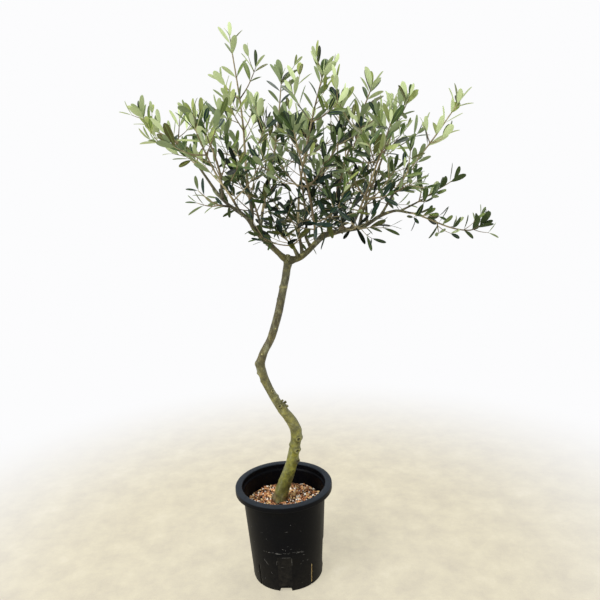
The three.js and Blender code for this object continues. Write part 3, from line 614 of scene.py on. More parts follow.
# %% Measured limbs
TRUNK = [
    ((-14, 14, 240), 25.5), ((-9, 13, 262), 22.8), ((8, 9, 311), 20.2), ((27, 6, 360), 17.8),
    ((42, 4, 423), 16.8), ((47, 4, 474), 17.4), ((35, 3, 508), 16.2), ((9, 0, 550), 14.2),
    ((-27, -4, 619), 12.8), ((-45, -6, 674), 13), ((-50, -7, 701), 13.8), ((-40, -6, 730), 12.6),
    ((-13, -2, 778), 11.9), ((13, 2, 850), 11.6), ((33, 5, 930), 11.4), ((46, 6, 985), 12.2),
    ((50, 6, 1006), 13.4), ((50, 6, 1021), 9.5),
]
FORK_SHARE = 16 / 17
BOUGHS = {
    "bough_left": ("trunk", FORK_SHARE, (8.4, 3.2),
                   [(-33, -4, 1094), (-62, -8, 1140), (-125, -10, 1194), (-186, -14, 1289)]),
    "bough_right": ("trunk", FORK_SHARE, (9.8, 3),
                    [(93, 2, 1021), (163, -4, 1078), (217, -8, 1090), (275, -8, 1098), (326, -8, 1127),
                     (372, -10, 1139), (413, -12, 1131)]),
    "bough_back_left": ("bough_left", 0.16, (5, 3.6), [(-20, 40, 1092), (-30, 78, 1136)]),
    "bough_upper_left": ("bough_left", 0.27, (5.2, 4), [(-22, 10, 1122), (-16, 18, 1154)]),
    "bough_top_left": ("bough_left", 0.41, (5.6, 4.4), [(-46, 2, 1156), (-50, 5, 1190)]),
    "bough_front_left": ("bough_left", 0.56, (4.6, 3.4), [(-82, -40, 1166), (-92, -74, 1190)]),
    "bough_low_left": ("bough_left", 0.67, (3.6, 2.6), [(-128, -42, 1180)]),
    "bough_left_middle": ("bough_left", 0.76, (4.4, 3.6), [(-128, -12, 1250)]),
    "bough_upper_middle": ("bough_right", 0.145, (5, 4), [(90, -4, 1056), (86, -8, 1092)]),
    "bough_back_middle": ("bough_right", 0.2, (5, 3.8), [(110, 46, 1070), (114, 80, 1102)]),
    "bough_low_middle": ("bough_right", 0.1, (3.8, 2.8), [(66, -44, 1052)]),
    "bough_low_back": ("bough_right", 0.12, (3.8, 2.8), [(70, 44, 1048)]),
    "bough_front_middle": ("bough_right", 0.255, (5, 3.8), [(130, -42, 1072), (128, -74, 1100)]),
    "bough_top_right": ("bough_right", 0.315, (5, 4), [(174, -4, 1112), (184, -6, 1144)]),
    "bough_low_right": ("bough_right", 0.365, (3.6, 2.6), [(204, -50, 1102)]),
    "bough_inner_right": ("bough_right", 0.42, (4.8, 3.8), [(218, 28, 1124), (214, 50, 1154)]),
    "bough_front_right": ("bough_right", 0.48, (4.6, 3.6), [(244, -48, 1118), (252, -80, 1146)]),
    "bough_right_upper": ("bough_right", 0.54, (4.8, 3.8), [(276, 10, 1136), (290, 15, 1170)]),
    "bough_back_right": ("bough_right", 0.605, (4.6, 3.6), [(294, 44, 1126), (299, 80, 1156)]),
    "bough_right_shoot": ("bough_right", 0.72, (4, 3.2), [(350, -2, 1162), (372, 1, 1196)]),
    "bough_right_middle": ("bough_right", 0.9, (2.8, 2.4), [(432, -14, 1160)]),
}

# %% [markdown]
# Each mass of foliage has one stem on the tip of its bough, the length of its longest twigs, and the
# share of the stem beyond which leaves stand on it.

# %% Measured masses
MASSES = {
    "left_lobe": ("bough_left", 78, 0.2, [(-244, -20, 1359), (-300, -26, 1396), (-326, -28, 1428)]),
    "back_left": ("bough_back_left", 170, 0.5, [(-62, 150, 1240), (-100, 210, 1335), (-126, 250, 1410)]),
    "upper_left": ("bough_upper_left", 150, 0.45, [(22, 60, 1292), (44, 85, 1405), (60, 105, 1518)]),
    "top_left": ("bough_top_left", 140, 0.55,
                 [(-56, 10, 1290), (-56, 14, 1387), (-62, 14, 1482), (-74, 14, 1598)]),
    "front_left": ("bough_front_left", 150, 0.5,
                   [(-128, -146, 1262), (-150, -196, 1322), (-162, -226, 1362)]),
    "low_left": ("bough_low_left", 70, 0.3, [(-158, -70, 1196), (-180, -84, 1218)]),
    "left_middle": ("bough_left_middle", 110, 0.4, [(-143, -40, 1333), (-166, -70, 1388), (-178, -85, 1411)]),
    "upper_middle": ("bough_upper_middle", 160, 0.5,
                     [(93, -40, 1219), (114, -65, 1320), (139, -85, 1422), (163, -100, 1504)]),
    "back_middle": ("bough_back_middle", 180, 0.5, [(112, 160, 1220), (106, 224, 1320), (102, 268, 1405)]),
    "low_middle": ("bough_low_middle", 100, 0.3, [(50, -84, 1076), (40, -120, 1096)]),
    "low_back": ("bough_low_back", 100, 0.3, [(56, 88, 1080), (46, 130, 1106)]),
    "front_middle": ("bough_front_middle", 170, 0.5, [(112, -148, 1200), (92, -206, 1280), (76, -246, 1345)]),
    "top_right": ("bough_top_right", 150, 0.5, [(227, -30, 1289), (258, -60, 1380), (289, -85, 1458)]),
    "low_right": ("bough_low_right", 95, 0.3, [(222, -100, 1098), (234, -140, 1108)]),
    "inner_right": ("bough_inner_right", 150, 0.5, [(214, 92, 1250), (226, 128, 1352), (236, 150, 1434)]),
    "front_right": ("bough_front_right", 160, 0.5, [(276, -144, 1226), (296, -196, 1300), (310, -232, 1352)]),
    "right_upper": ("bough_right_upper", 130, 0.45, [(350, 50, 1302), (397, 80, 1396), (424, 100, 1444)]),
    "back_right": ("bough_back_right", 165, 0.5, [(318, 152, 1250), (338, 210, 1325), (350, 244, 1380)]),
    "right_shoot": ("bough_right_shoot", 75, 0.3,
                    [(432, 4, 1274), (484, 4, 1335), (535, 4, 1402), (556, 4, 1430)]),
    "right_middle": ("bough_right_middle", 56, 0.15, [(486, -15, 1190), (526, -20, 1212)]),
    "right_tip": ("bough_right", 50, 0.1,
                  [(467, -24, 1110), (532, -32, 1082), (584, -36, 1074), (604, -38, 1082)]),
}
LINE_STEPS, WALK_STEPS, FINE_STEPS = 16, 200, 800
HEADING_STEP = 1e-4
STEM = {"lead": 12, "gap": 0.3, "tip": 1.8}
TWIG = {"every": 74, "clear_foot": 22, "until": 0.78, "angle": 1.05, "lift": 0.16, "rise": 0.3,
        "foot": 2, "shortest": 34, "wane": 0.52, "steps": 8, "turn": (-0.4, 0.4), "long": (0.8, 1.1)}
SPACE = {"margin": 1.6, "reach": 1.5}
LIMB_CLEAR = 1.2
SEED = {"first": 11, "step": 7}
UP = np.array([0.0, 0.0, 1.0])
NEARLY_UPRIGHT = 0.95

# %% [markdown]
# A smooth curve through points.
# A centripetal Catmull-Rom curve passes through every point and never loops, even where points lie
# close together, so it suits wood. It is worked out for a whole array of shares at once.

# %% Smooth limbs


def curve_at(points, shares):
    """Cubic spans between points; a span's slopes come from its neighbours, by roots of the gaps."""
    points = np.asarray(points, float)
    shares = np.atleast_1d(shares)
    first, last = 2 * points[0] - points[1], 2 * points[-1] - points[-2]
    ring = np.concatenate([[first], points, [last]])
    step = np.clip(shares, 0, 1) * (len(points) - 1)
    span = np.minimum(step.astype(int), len(points) - 2)
    t = (step - span)[:, None]
    p0, p1, p2, p3 = (ring[span + k] for k in range(4))
    gaps = (p1 - p0, p2 - p1, p3 - p2)
    d0, d1, d2 = (np.sqrt(np.linalg.norm(gap, axis=1, keepdims=True)) for gap in gaps)
    slope1 = ((p1 - p0) / d0 - (p2 - p0) / (d0 + d1) + (p2 - p1) / d1) * d1
    slope2 = ((p2 - p1) / d1 - (p3 - p1) / (d1 + d2) + (p3 - p2) / d2) * d1
    square = 3 * (p2 - p1) - 2 * slope1 - slope2
    cube = 2 * (p1 - p2) + slope1 + slope2
    return p1 + slope1 * t + square * t**2 + cube * t**3


class Limb:
    """A smooth curve through points, with a radius at each share of it."""

    def __init__(self, points, radius):
        self.points = np.array(points, float)
        self.radius = radius
        walk = self.at(np.linspace(0, 1, WALK_STEPS + 1))
        self.length = float(np.linalg.norm(np.diff(walk, axis=0), axis=1).sum())
        self.line = self.at(np.linspace(0, 1, LINE_STEPS + 1))

    def at(self, shares):
        """Points at shares of the limb."""
        return curve_at(self.points, shares)

    def heading(self, shares):
        """Directions along the limb, from points a small step to either side."""
        shares = np.atleast_1d(shares)
        ahead, behind = np.minimum(shares + HEADING_STEP, 1), np.maximum(shares - HEADING_STEP, 0)
        return unit(self.at(ahead) - self.at(behind))


def taper(foot, tip):
    """A radius that goes evenly from foot to tip."""
    return lambda shares: foot + (tip - foot) * np.asarray(shares, float)


def trunk_radius(shares):
    """The trunk's radius between its measured places."""
    return np.interp(np.asarray(shares) * (len(TRUNK) - 1), np.arange(len(TRUNK)), [r for _, r in TRUNK])


limbs = {"trunk": Limb([at for at, _ in TRUNK], trunk_radius)}
for name, (parent, share, radii, through) in BOUGHS.items():
    limbs[name] = Limb([limbs[parent].at(share)[0], *through], taper(*radii))
stems = {}
for name, (bough, spread, leafy, through) in MASSES.items():
    tip, ahead = limbs[bough].at(1)[0], limbs[bough].heading(1)[0]
    foot = tip + STEM["gap"] * ahead
    thick = float(limbs[bough].radius(1))
    stems[name] = Limb([foot, foot + STEM["lead"] * ahead, *through], taper(thick, STEM["tip"]))
print(len(limbs), "limbs and", len(stems), "stems; trunk", round(limbs["trunk"].length), "mm along its bends")

# %% [markdown]
# Bark.
# A young olive's bark is smooth and green, with a fine grain, a slight swelling where each twig was
# cut, and eye-shaped scars. Relief on a swept surface can be made by sculpting or by displacement;
# here the radius is a function of the share of the length and of the turn, so it is plain numpy.
# Knots are bumps at measured heights and turns, and eyes are bumps with a dimple.

# %% Knots on the trunk
# Height, turn from the front in degrees, half-width, rise, dimple's depth, and how pale the middle
# and the ring round it are (below nought is darker than the bark).
KNOTS = [
    (382, 46, 13, 6.0, 4.0, -1.2, -0.5), (416, 24, 13, 5.6, 5.6, -1.2, 0.5),
    (454, 24, 13.5, 5.8, 6.0, -1.2, 0.5), (382, 84, 8, 3.4, 0, -0.4, 0),
    (416, 78, 9, 4.0, 0, 0, 0), (454, 80, 10, 4.2, 0, 0, 0),
    (429, -74, 9, 4.4, 0, 0, 0), (395, 160, 10, 4.0, 3.4, -0.8, 0.3), (474, 96, 14, 2.2, 0, 0.1, 0),
    (338, -20, 10, 1.8, 0, -0.5, 0), (352, 25, 8, 1.6, 0, -0.5, 0), (318, 20, 8, 1.6, 0.8, -0.6, 0),
    (557, 86, 12, 4.8, 0, -0.2, 0), (566, 6, 10, 3.8, 4.2, -1.0, 0.35), (562, 34, 8, 3.0, 2.6, -0.9, 0.2),
    (550, -62, 6, 1.4, 0, 1.0, 0), (592, 28, 9, 3.2, 0, 0.25, 0), (590, 80, 7, 3.2, 0, 0.1, 0),
    (614, 33, 8, 3.6, 3.6, -0.8, 0.6), (640, -120, 9, 3.0, 2.2, -0.4, 0.4), (703, -72, 9, 4.2, 0, 0.45, 0),
    (676, -84, 8, 3.6, 0, 0.1, 0), (650, -80, 7, 2.0, 0, 0, 0), (732, -20, 6, 1.2, 0, 1.0, 0),
    (809, 12, 6, 1.1, 0, 1.0, 0), (778, 170, 8, 2.2, 1.4, -0.4, 0.5), (870, 200, 7, 1.6, 0, 0.7, 0),
    (893, -80, 6, 1.6, 0, 0.3, 0), (930, -86, 6, 2.0, 0, 0.5, 0), (300, -130, 10, 2.4, 0, 0, 0),
    (284, 44, 12, 2.6, 0, 0.6, 0), (266, 20, 10, 2.0, 1.4, -0.6, 0.2), (996, 40, 8, 2.2, 1.6, -0.5, 0.3),
    (262, -40, 13, 2.0, 0, -0.4, 0), (520, -60, 7, 1.6, 0, 0.5, 0), (486, -10, 9, 1.2, 0, -0.2, 0),
]
COLLAR = {"height": 930, "rise": 0.6, "half": 2.6, "pale": 0.42}
# An eye's lip and the dark crease round it, as shares of the knot's half-width.
EYE = {"lip": 0.47, "lip_half": 0.17, "lip_rise": 0.22,
       "crease": 0.82, "crease_half": 0.15, "crease_dark": 0.4, "deep": 2}
FLARE = {"height": 16, "out": 2.2, "ridge": 1.8, "ridges": 3}
CAP = 9
# Waves round and along the trunk: a count round it, a length and a height. The first are the broad ones.
TRUNK_SWELLS = [(2, 170, 0.6), (3, 95, 0.4), (5, 61, 0.26), (1, 230, 0.5)]
TRUNK_RIPPLES = [(9, 37, 0.14), (13, 23, 0.1), (17, -29, 0.08)]
KNOB = {"down": 12, "rise": 7, "radius": 11.5, "scar": 0.12}
# On which limb, height, turn from the front in degrees, length and radius.
SPURS = [
    ("trunk", 562, 88, 8.5, 4.0), ("trunk", 552, 74, 6.5, 3.6), ("trunk", 572, 66, 6.0, 3.4),
    ("trunk", 547, 102, 5.5, 3.0), ("bough_left", 1094, -80, 9, 1.6), ("bough_left", 1172, -95, 8, 1.3),
    ("bough_left", 1150, -70, 5, 1.2), ("bough_right", 1072, 160, 5, 1.6),
]
TRUNK_COLUMNS, TRUNK_STEP = 64, 1.8
SPUR_COLUMNS, SPUR_ROWS, KNOB_COLUMNS, KNOB_ROWS = 12, 10, 20, 9
# A spur starts inside the limb, at a share of its radius, is swollen at its foot, narrows at its cut
# end, and rises by two heights, at its bend and at its end.
SPUR = {"inside": 0.6, "swollen": 0.45, "cut": 0.62, "cut_from": 0.95, "lifts": (0.8, 2.5)}
# How dark the spurs are, on the trunk and on the boughs.
SPUR_SCARS = (-0.3, -0.4)


def ripple(turn, along, waves):
    """A sum of waves round and along a limb; each has a count round it, a length and a height."""
    total = 0 * turn
    for i, (count, long, high) in enumerate(waves):
        total = total + high * np.sin(count * turn + along * 2 * np.pi / long + 1.7 * i)
    return total


def swept(limb, shares, radius, columns, level=(0, 1, 0)):
    """Rings square to a limb: middle + radius(share, turn) in a frame that a fixed direction sets."""
    middle, ahead = limb.at(shares), limb.heading(shares)
    back = unit(np.array(level, float) - (ahead @ np.array(level, float))[:, None] * ahead)
    right = np.cross(back, ahead)
    turn = around(columns)[None, :, None]
    outward = -back[:, None] * np.cos(turn) + right[:, None] * np.sin(turn)
    return middle[:, None] + outward * radius[:, :, None]


def even_shares(limb, step):
    """Shares at even distances along a limb."""
    fine = np.linspace(0, 1, FINE_STEPS + 1)
    far = np.concatenate([[0], np.cumsum(np.linalg.norm(np.diff(limb.at(fine), axis=0), axis=1))])
    count = max(3, int(far[-1] / step))
    return np.interp(np.linspace(0, far[-1], count + 1), far, fine)


# %% [markdown]
# The trunk's foot swells into the roots and goes down into the grit. Its top is a pruned stub with
# a rounded callus between the two boughs. Small cut spurs stand out at the lower bend.

# %% The trunk's bark


def trunk_grid():
    """Rings of the trunk, and how pale or dark each point's scar is.

    The radius is the measured one, plus waves, plus for each knot rise * exp(-1.6 far^2) with a
    dimple and a lip, where far is the distance over the knot's half-width, plus a thin ring at the
    collar. It is rounded off at the top and flares out at the foot by exp(-height).
    """
    trunk = limbs["trunk"]
    shares = even_shares(trunk, TRUNK_STEP)
    heights = trunk.at(shares)[:, 2][:, None]
    turn = around(TRUNK_COLUMNS)[None]
    plain = trunk_radius(shares)[:, None] + 0 * turn
    along = shares[:, None] * trunk.length
    relief = ripple(turn, along, TRUNK_SWELLS) + ripple(turn, along, TRUNK_RIPPLES)
    ridges = FLARE["out"] + FLARE["ridge"] * np.cos(FLARE["ridges"] * turn + 0.6)
    flare = np.exp(-(heights - TRUNK[0][0][2]) / FLARE["height"]) * ridges
    scar = 0 * plain
    for height, side, half, rise, dimple, middle, rim in KNOTS:
        round_it = ((turn - math.radians(side) + np.pi) % (2 * np.pi) - np.pi) * plain
        far = np.sqrt(round_it**2 + ((heights - height) * 1.1) ** 2) / half
        lip = np.exp(-(((far - EYE["lip"]) / EYE["lip_half"]) ** 2))
        crease = np.exp(-(((far - EYE["crease"]) / EYE["crease_half"]) ** 2)) * (dimple > EYE["deep"])
        hollow = EYE["lip_rise"] * lip - np.exp(-((far * 3) ** 2))
        relief = relief + rise * np.exp(-(far**2) * 1.6) + dimple * hollow
        scar = scar + middle * np.exp(-((far * 3.1) ** 2)) + rim * lip - EYE["crease_dark"] * crease
    wander = 2.5 * np.sin(turn + 0.5) + 0.8 * np.sin(3 * turn)
    ring = np.exp(-(((heights - COLLAR["height"] - wander) / COLLAR["half"]) ** 2))
    relief = relief + COLLAR["rise"] * ring
    scar = scar + COLLAR["pale"] * ring * (0.7 + 0.3 * np.sin(2 * turn + 1))
    crown = np.clip(1 - (1 - shares[:, None]) * trunk.length / CAP, 0, 1)
    radius = (plain + relief) * np.sqrt(np.clip(1 - (0.94 * crown) ** 2, 0.02, 1)) + flare
    return swept(trunk, shares, radius, TRUNK_COLUMNS), scar


def knob_grid():
    """The pruned end of the trunk between the boughs: a dome whose radius falls as the root of 1 - s^4."""
    top = np.array(TRUNK[-1][0], float)
    s = np.linspace(0, 0.97, KNOB_ROWS)
    turn = around(KNOB_COLUMNS)
    lobes = 1 + 0.07 * np.sin(3 * turn) + 0.05 * np.sin(5 * turn + 1)
    radius = KNOB["radius"] * np.sqrt(1 - s**4)[:, None] * lobes[None]
    height = (-KNOB["down"] + (KNOB["down"] + KNOB["rise"]) * s)[:, None] + 0 * radius
    return top + np.stack([radius * np.sin(turn), -radius * np.cos(turn), height], -1)


def spur_grids(owner):
    """Stubs of cut twigs: tubes square to a limb, wide at the foot, that narrow again at a rounded cut."""
    limb = limbs[owner]
    fine = np.linspace(0, 1, FINE_STEPS + 1)
    heights = limb.at(fine)[:, 2]
    grids = []
    for height, side, long, wide in [spur[1:] for spur in SPURS if spur[0] == owner]:
        share = fine[np.abs(heights - height).argmin()]
        middle, ahead = limb.at(share)[0], limb.heading(share)[0]
        back = unit(np.array([0, 1, 0]) - ahead[1] * ahead)
        right = np.cross(back, ahead)
        out = -back * math.cos(math.radians(side)) + right * math.sin(math.radians(side))
        start = middle + out * float(limb.radius(share)) * SPUR["inside"]
        reach = long + float(limb.radius(share)) * (1 - SPUR["inside"])
        bend = start + out * reach * 0.6 + UP * SPUR["lifts"][0]
        stub = Limb([start, bend, start + out * reach + UP * SPUR["lifts"][1]], None)
        steps = np.linspace(0, 1, SPUR_ROWS)
        swelling = 1 + SPUR["swollen"] - SPUR["swollen"] * np.minimum(steps * 2.2, 1)
        radius = wide * swelling * np.where(steps > SPUR["cut_from"], SPUR["cut"], 1)
        knobby = 1 + 0.1 * np.sin(steps[:, None] * 9 + around(SPUR_COLUMNS)[None] * 2)
        grids.append(swept(stub, steps, radius[:, None] * knobby, SPUR_COLUMNS, level=(0.1, 0.2, 1)))
    return grids


# %% [markdown]
# Bark colours.
# The bark is yellow-green at the foot, grey-green at the bends and browner above. A pale bloom lies
# on it in drifts of a centimetre or two, and thin grey streaks follow the grain, a few millimetres
# apart. Scars are painted by a value kept on each point of the mesh, so they stay where the knots are.

# %% Bark colours
BLOOM, FLECK, PALE_SCAR, DARK_SCAR = "#c9cca0", "#c3bd95", "#c6bf7c", "#3b3421"
PATCHES = [(0.32, "#4c4c44"), (0.5, "#808080"), (0.68, "#b9b79c")]
# Base colours from the foot of the green bark, or of the young bark, to its top.
GREEN_BARK = [
    (0.0, "#a5926a"), (0.04, "#b0ac5c"), (0.13, "#aaa84c"), (0.25, "#a5a24b"), (0.33, "#b3ae68"),
    (0.44, "#a8a35f"), (0.57, "#9a925a"), (0.64, "#7d7143"), (0.82, "#6f6740"), (1.0, "#6d6a37"),
]
YOUNG_BARK = [(0.0, "#716b38"), (0.25, "#6f6742"), (0.6, "#6a6248"), (1.0, "#7a745a")]


def bark_finish(name, stops, low, high, rough):
    """Bark: base colour by height, patches of 20 mm, pale bloom, grain of 2 mm and scars from the mesh."""
    finish, tree, shader, place = new_finish(name, IOR=1.45, Specular_IOR_Level=0.5, Roughness=rough)
    height = add_node(tree, "SeparateXYZ", out="Z", Vector=place)
    share = add_node(tree, "MapRange", Value=height, From_Min=low, From_Max=high)
    wander = add_node(tree, "TexNoise", Vector=place, Scale=16, Detail=3, Roughness=0.55)
    moved = add_node(tree, "Math", {"operation": "MULTIPLY_ADD"}, _0=wander, _1=0.22, _2=share)
    lowered = add_node(tree, "Math", {"operation": "SUBTRACT"}, _0=moved, _1=0.11)
    base = add_node(tree, "ValToRGB", stops=stops, Fac=lowered)
    patch_noise = add_node(tree, "TexNoise", Vector=place, Scale=46, Detail=5, Roughness=0.62)
    patches = add_node(tree, "ValToRGB", stops=PATCHES, Fac=patch_noise)
    mottled = add_node(tree, "Mix", OVERLAY, Factor=0.85, A=base, B=patches)
    bloom_place = add_node(tree, "Mapping", Vector=place, Scale=(60, 60, 26))
    bloom_noise = add_node(tree, "TexNoise", Vector=bloom_place, Scale=1, Detail=5, Roughness=0.7)
    bloom = add_node(tree, "ValToRGB", stops=[(0.5, "#000000"), (0.66, "#9c9c9c")], Fac=bloom_noise)
    bloomed = add_node(tree, "Mix", MIX, Factor=bloom, A=mottled, B=BLOOM)
    grain_place = add_node(tree, "Mapping", Vector=place, Scale=(520, 520, 95))
    grain = add_node(tree, "TexNoise", Vector=grain_place, Scale=1, Detail=4, Roughness=0.65)
    streaks = add_node(tree, "ValToRGB", stops=[(0.35, "#5d5d5d"), (0.6, "#a4a4a4")], Fac=grain)
    grained = add_node(tree, "Mix", OVERLAY, Factor=0.55, A=bloomed, B=streaks)
    fleck_noise = add_node(tree, "TexNoise", Vector=place, Scale=360, Detail=3, Roughness=0.55)
    flecks = add_node(tree, "ValToRGB", stops=[(0.62, "#000000"), (0.72, "#6e6e6e")], Fac=fleck_noise)
    flecked = add_node(tree, "Mix", MIX, Factor=flecks, A=grained, B=FLECK)
    scar = add_node(tree, "Attribute", {"attribute_name": "scar"}, out="Fac")
    pale = add_node(tree, "Clamp", Value=scar)
    scarred = add_node(tree, "Mix", MIX, Factor=pale, A=flecked, B=PALE_SCAR)
    dark = add_node(tree, "Clamp", Value=add_node(tree, "Math", {"operation": "MULTIPLY"}, _0=scar, _1=-1.0))
    colour = add_node(tree, "Mix", MIX, Factor=dark, A=scarred, B=DARK_SCAR)
    lumps = add_node(tree, "TexNoise", Vector=place, Scale=210, Detail=4, Roughness=0.6)
    relief = add_node(tree, "Math", {"operation": "MULTIPLY_ADD"}, _0=grain, _1=0.6, _2=lumps)
    feed(shader, Base_Color=colour, Normal=add_node(tree, "Bump", Height=relief, Distance=0.0012))
    return finish


trunk_bark = bark_finish("olive_bark_green", GREEN_BARK, low=0.24, high=1.02, rough=0.42)
bough_bark = bark_finish("olive_bark_young", YOUNG_BARK, low=1.0, high=1.32, rough=0.66)

trunk_mesh = Collector()
grid, scar = trunk_grid()
closed_tube(trunk_mesh, grid)
marks = [scar.ravel(), [0, 0]]
for stub in spur_grids("trunk"):
    marks.append(np.full(closed_tube(trunk_mesh, stub), SPUR_SCARS[0]))
marks.append(np.full(closed_tube(trunk_mesh, knob_grid()), KNOB["scar"]))
scars = {"scar": np.concatenate(marks)}
bark_trunk = settle(trunk_mesh.piece("bark_trunk", [trunk_bark], marks=scars), "bark", "trunk")
print("trunk:", len(bark_trunk.data.polygons), "faces,", len(KNOTS), "knots")

# %% [markdown]
# The boughs swell at their foot, where they join their parent, and again a little at each twig.
# Their feet are sunk into the parent, so no gap shows.

# %% The boughs' bark
BOUGH_COLUMNS, BOUGH_STEP = 20, 2.4
BOUGH_WAVES = [(2, 83, 0.05), (3, 47, 0.035), (1, 120, 0.05), (7, 19, 0.014)]
COLLAR_SWELL, COLLAR_REACH = 0.28, 90
BOUGH_SCARS = {"from": 26, "to_tip": 8, "every": 31, "rise": 0.16, "wide": 0.8}


def bough_grid(name, seed):
    """Rings of one bough and its scars: radius * (1 + the collar's bell at its foot + waves + scars)."""
    limb = limbs[name]
    shares = even_shares(limb, BOUGH_STEP)
    turn = around(BOUGH_COLUMNS)[None]
    along = shares[:, None] * limb.length
    plain = limb.radius(shares)[:, None] + 0 * turn
    parent, share = BOUGHS[name][:2]
    collar = COLLAR_SWELL * np.exp(-((along - limbs[parent].radius(share)) ** 2) / COLLAR_REACH)
    relief = ripple(turn + seed, along, BOUGH_WAVES)
    scar = 0 * plain
    chance = np.random.default_rng(400 + seed)
    for place in np.arange(BOUGH_SCARS["from"], limb.length - BOUGH_SCARS["to_tip"], BOUGH_SCARS["every"]):
        side, tone = chance.uniform(0, 2 * np.pi), chance.uniform(-0.5, 0.8)
        round_it = ((turn - side + np.pi) % (2 * np.pi) - np.pi) * plain
        off = along - place - chance.uniform(-8, 8)
        far = (round_it**2 + off**2) / (plain * BOUGH_SCARS["wide"]) ** 2
        relief = relief + BOUGH_SCARS["rise"] * np.exp(-far)
        scar = scar + tone * np.exp(-far * 2)
    return swept(limb, shares, plain * (1 + collar + relief), BOUGH_COLUMNS, level=(0.05, 1, 0.1)), scar


for seed, name in enumerate(BOUGHS):
    grid, scar = bough_grid(name, seed)
    wood = Collector()
    closed_tube(wood, grid)
    marks = [scar.ravel(), [0, 0]]
    marks += [np.full(closed_tube(wood, stub), SPUR_SCARS[1]) for stub in spur_grids(name)]
    piece = wood.piece("bark_" + name, [bough_bark], marks={"scar": np.concatenate(marks)})
    settle(piece, "young_bark", name)
print("boughs:", len(BOUGHS))

# %% [markdown]
# Twigs.
# Twigs leave a stem in pairs, each pair turned a quarter from the last, and rise as they grow. This
# is the same rule and the same random numbers as in the plain model, so the twigs lie inside its
# masses. A finer order of shoots then grows on from them, and on from every tip.

# %% How a twig grows


def seeded(seed):
    """Park and Miller's generator: the state times 16807, modulo 2147483647."""
    state = [seed]

    def chance(low, high):
        state[0] = state[0] * 16807 % 2147483647
        return low + (high - low) * (state[0] - 1) / 2147483646

    return chance


def nearest(lines, points):
    """The distance from each point to each line of LINE_STEPS straight steps, and its share there."""
    foot, step = lines[:, :-1], np.diff(lines, axis=1)
    away = np.atleast_2d(points)[:, None, None] - foot
    along = np.clip((away * step).sum(-1) / (step**2).sum(-1), 0, 1)
    gap = np.linalg.norm(away - along[..., None] * step, axis=-1)
    best = gap.argmin(-1)[..., None]
    share = (best + np.take_along_axis(along, best, -1)) / LINE_STEPS
    return np.take_along_axis(gap, best, -1)[..., 0], share[..., 0]


limb_lines = np.array([limb.line for limb in limbs.values()])
stem_lines = np.array([stem.line for stem in stems.values()])


def clear_of_limbs(points, radius):
    """Whether a ball at each point misses every limb."""
    far, share = nearest(limb_lines, points)
    wide = np.stack([limb.radius(share[:, i]) for i, limb in enumerate(limbs.values())], 1)
    return (far >= wide + radius + LIMB_CLEAR).all(1)


def in_space(index, spread, points, radius):
    """Whether each point lies nearer to its own stem than to any other, and within its reach."""
    far, _ = nearest(stem_lines, points)
    own = far[:, index]
    others = np.delete(far, index, 1).min(1)
    return (own <= spread * SPACE["reach"] + radius) & (others > own + 2 * (radius + SPACE["margin"]))


def turned_about(vector, axis, angle):
    """Rodrigues' turn of a vector about an axis."""
    across, along = np.cross(axis, vector), axis * (axis @ vector)
    return vector * math.cos(angle) + across * math.sin(angle) + along * (1 - math.cos(angle))


def sideways(ahead, turn):
    """A direction square to the stem, turned about it."""
    level = np.array([1.0, 0, 0]) if abs(ahead[2]) > NEARLY_UPRIGHT else UP
    return turned_about(unit(np.cross(ahead, level)), ahead, turn)


def side_twig(index, spread, foot, ahead, out, long):
    """A twig of two halves: ahead * cos + out * sin + a lift, then more upright, kept inside its space."""
    away = unit(ahead * math.cos(TWIG["angle"]) + out * math.sin(TWIG["angle"]) + UP * TWIG["lift"])
    lifted = unit(away + UP * TWIG["rise"])
    bend = foot + away * long * 0.5
    whole = Limb([foot, bend, bend + lifted * long * 0.5], None)
    tests = whole.at(np.arange(1, TWIG["steps"] + 1) / TWIG["steps"])
    fits = in_space(index, spread, tests, TWIG["foot"]) & clear_of_limbs(tests, TWIG["foot"])
    kept = int(np.cumprod(fits).sum())
    if kept / TWIG["steps"] * long < TWIG["shortest"]:
        return None
    return whole.at(np.array([0, 0.5, 1]) * kept / TWIG["steps"])


# %% [markdown]
# The finer shoots.
# On a real twig, last year's shoots stand every few centimetres in the axils of old leaves. They
# are thin, pale and nearly straight. Each grows to one side of its twig, then up.

# %% Shoots of one mass
# How far a twig is carried on past the solids' one, and the stems that are carried on otherwise.
CARRY_ON = 16
STEM_CARRY = {"top_left": 38, "right_shoot": 2, "upper_middle": 1, "low_left": 10, "left_lobe": 1}
FINE = {"every": 27, "from": 0.22, "to_tip": 16, "long": 86, "wane": 0.45, "angle": 0.84, "lift": 0.16,
        "rise": 0.35, "foot": 1.2, "tip": 0.7, "shortest": 24, "tests": 5, "swing": 0.9, "clear": 2,
        "from_stem": 0.35}
# The chance that a shoot is kept, by the height of its foot, and by mass at its bottom and top.
FULLNESS = ((1090, 1250, 1420, 1560), (1.0, 0.8, 0.4, 0.25))
THINNED = {
    "back_left": (0.3, 0.5), "front_left": (0.35, 0.55), "low_left": (0.2, 0.3), "left_middle": (0.6, 0.6),
    "top_left": (0.6, 0.5), "upper_left": (0.6, 0.55), "left_lobe": (1.4, 1.3), "upper_middle": (1, 1.3),
    "low_middle": (0.7, 1), "low_back": (0.7, 1), "top_right": (1.2, 0.25), "right_upper": (1.2, 0.25),
    "back_right": (1.2, 0.45), "front_right": (1.4, 0.7), "inner_right": (1.3, 0.8), "low_right": (2, 1),
    "right_middle": (0.5, 0.5), "right_tip": (1.3, 1.3), "right_shoot": (0, 0), "front_middle": (1.1, 0.8),
    "back_middle": (1.1, 0.8),
}
THIN_BETWEEN = (1200, 1380)
TIP_RADIUS = 0.8
GOLDEN_ANGLE = 2.4
# The share of a twig, and of a finer shoot, that is bare at its foot.
BARE_FOOT = (0.2, 0.12)


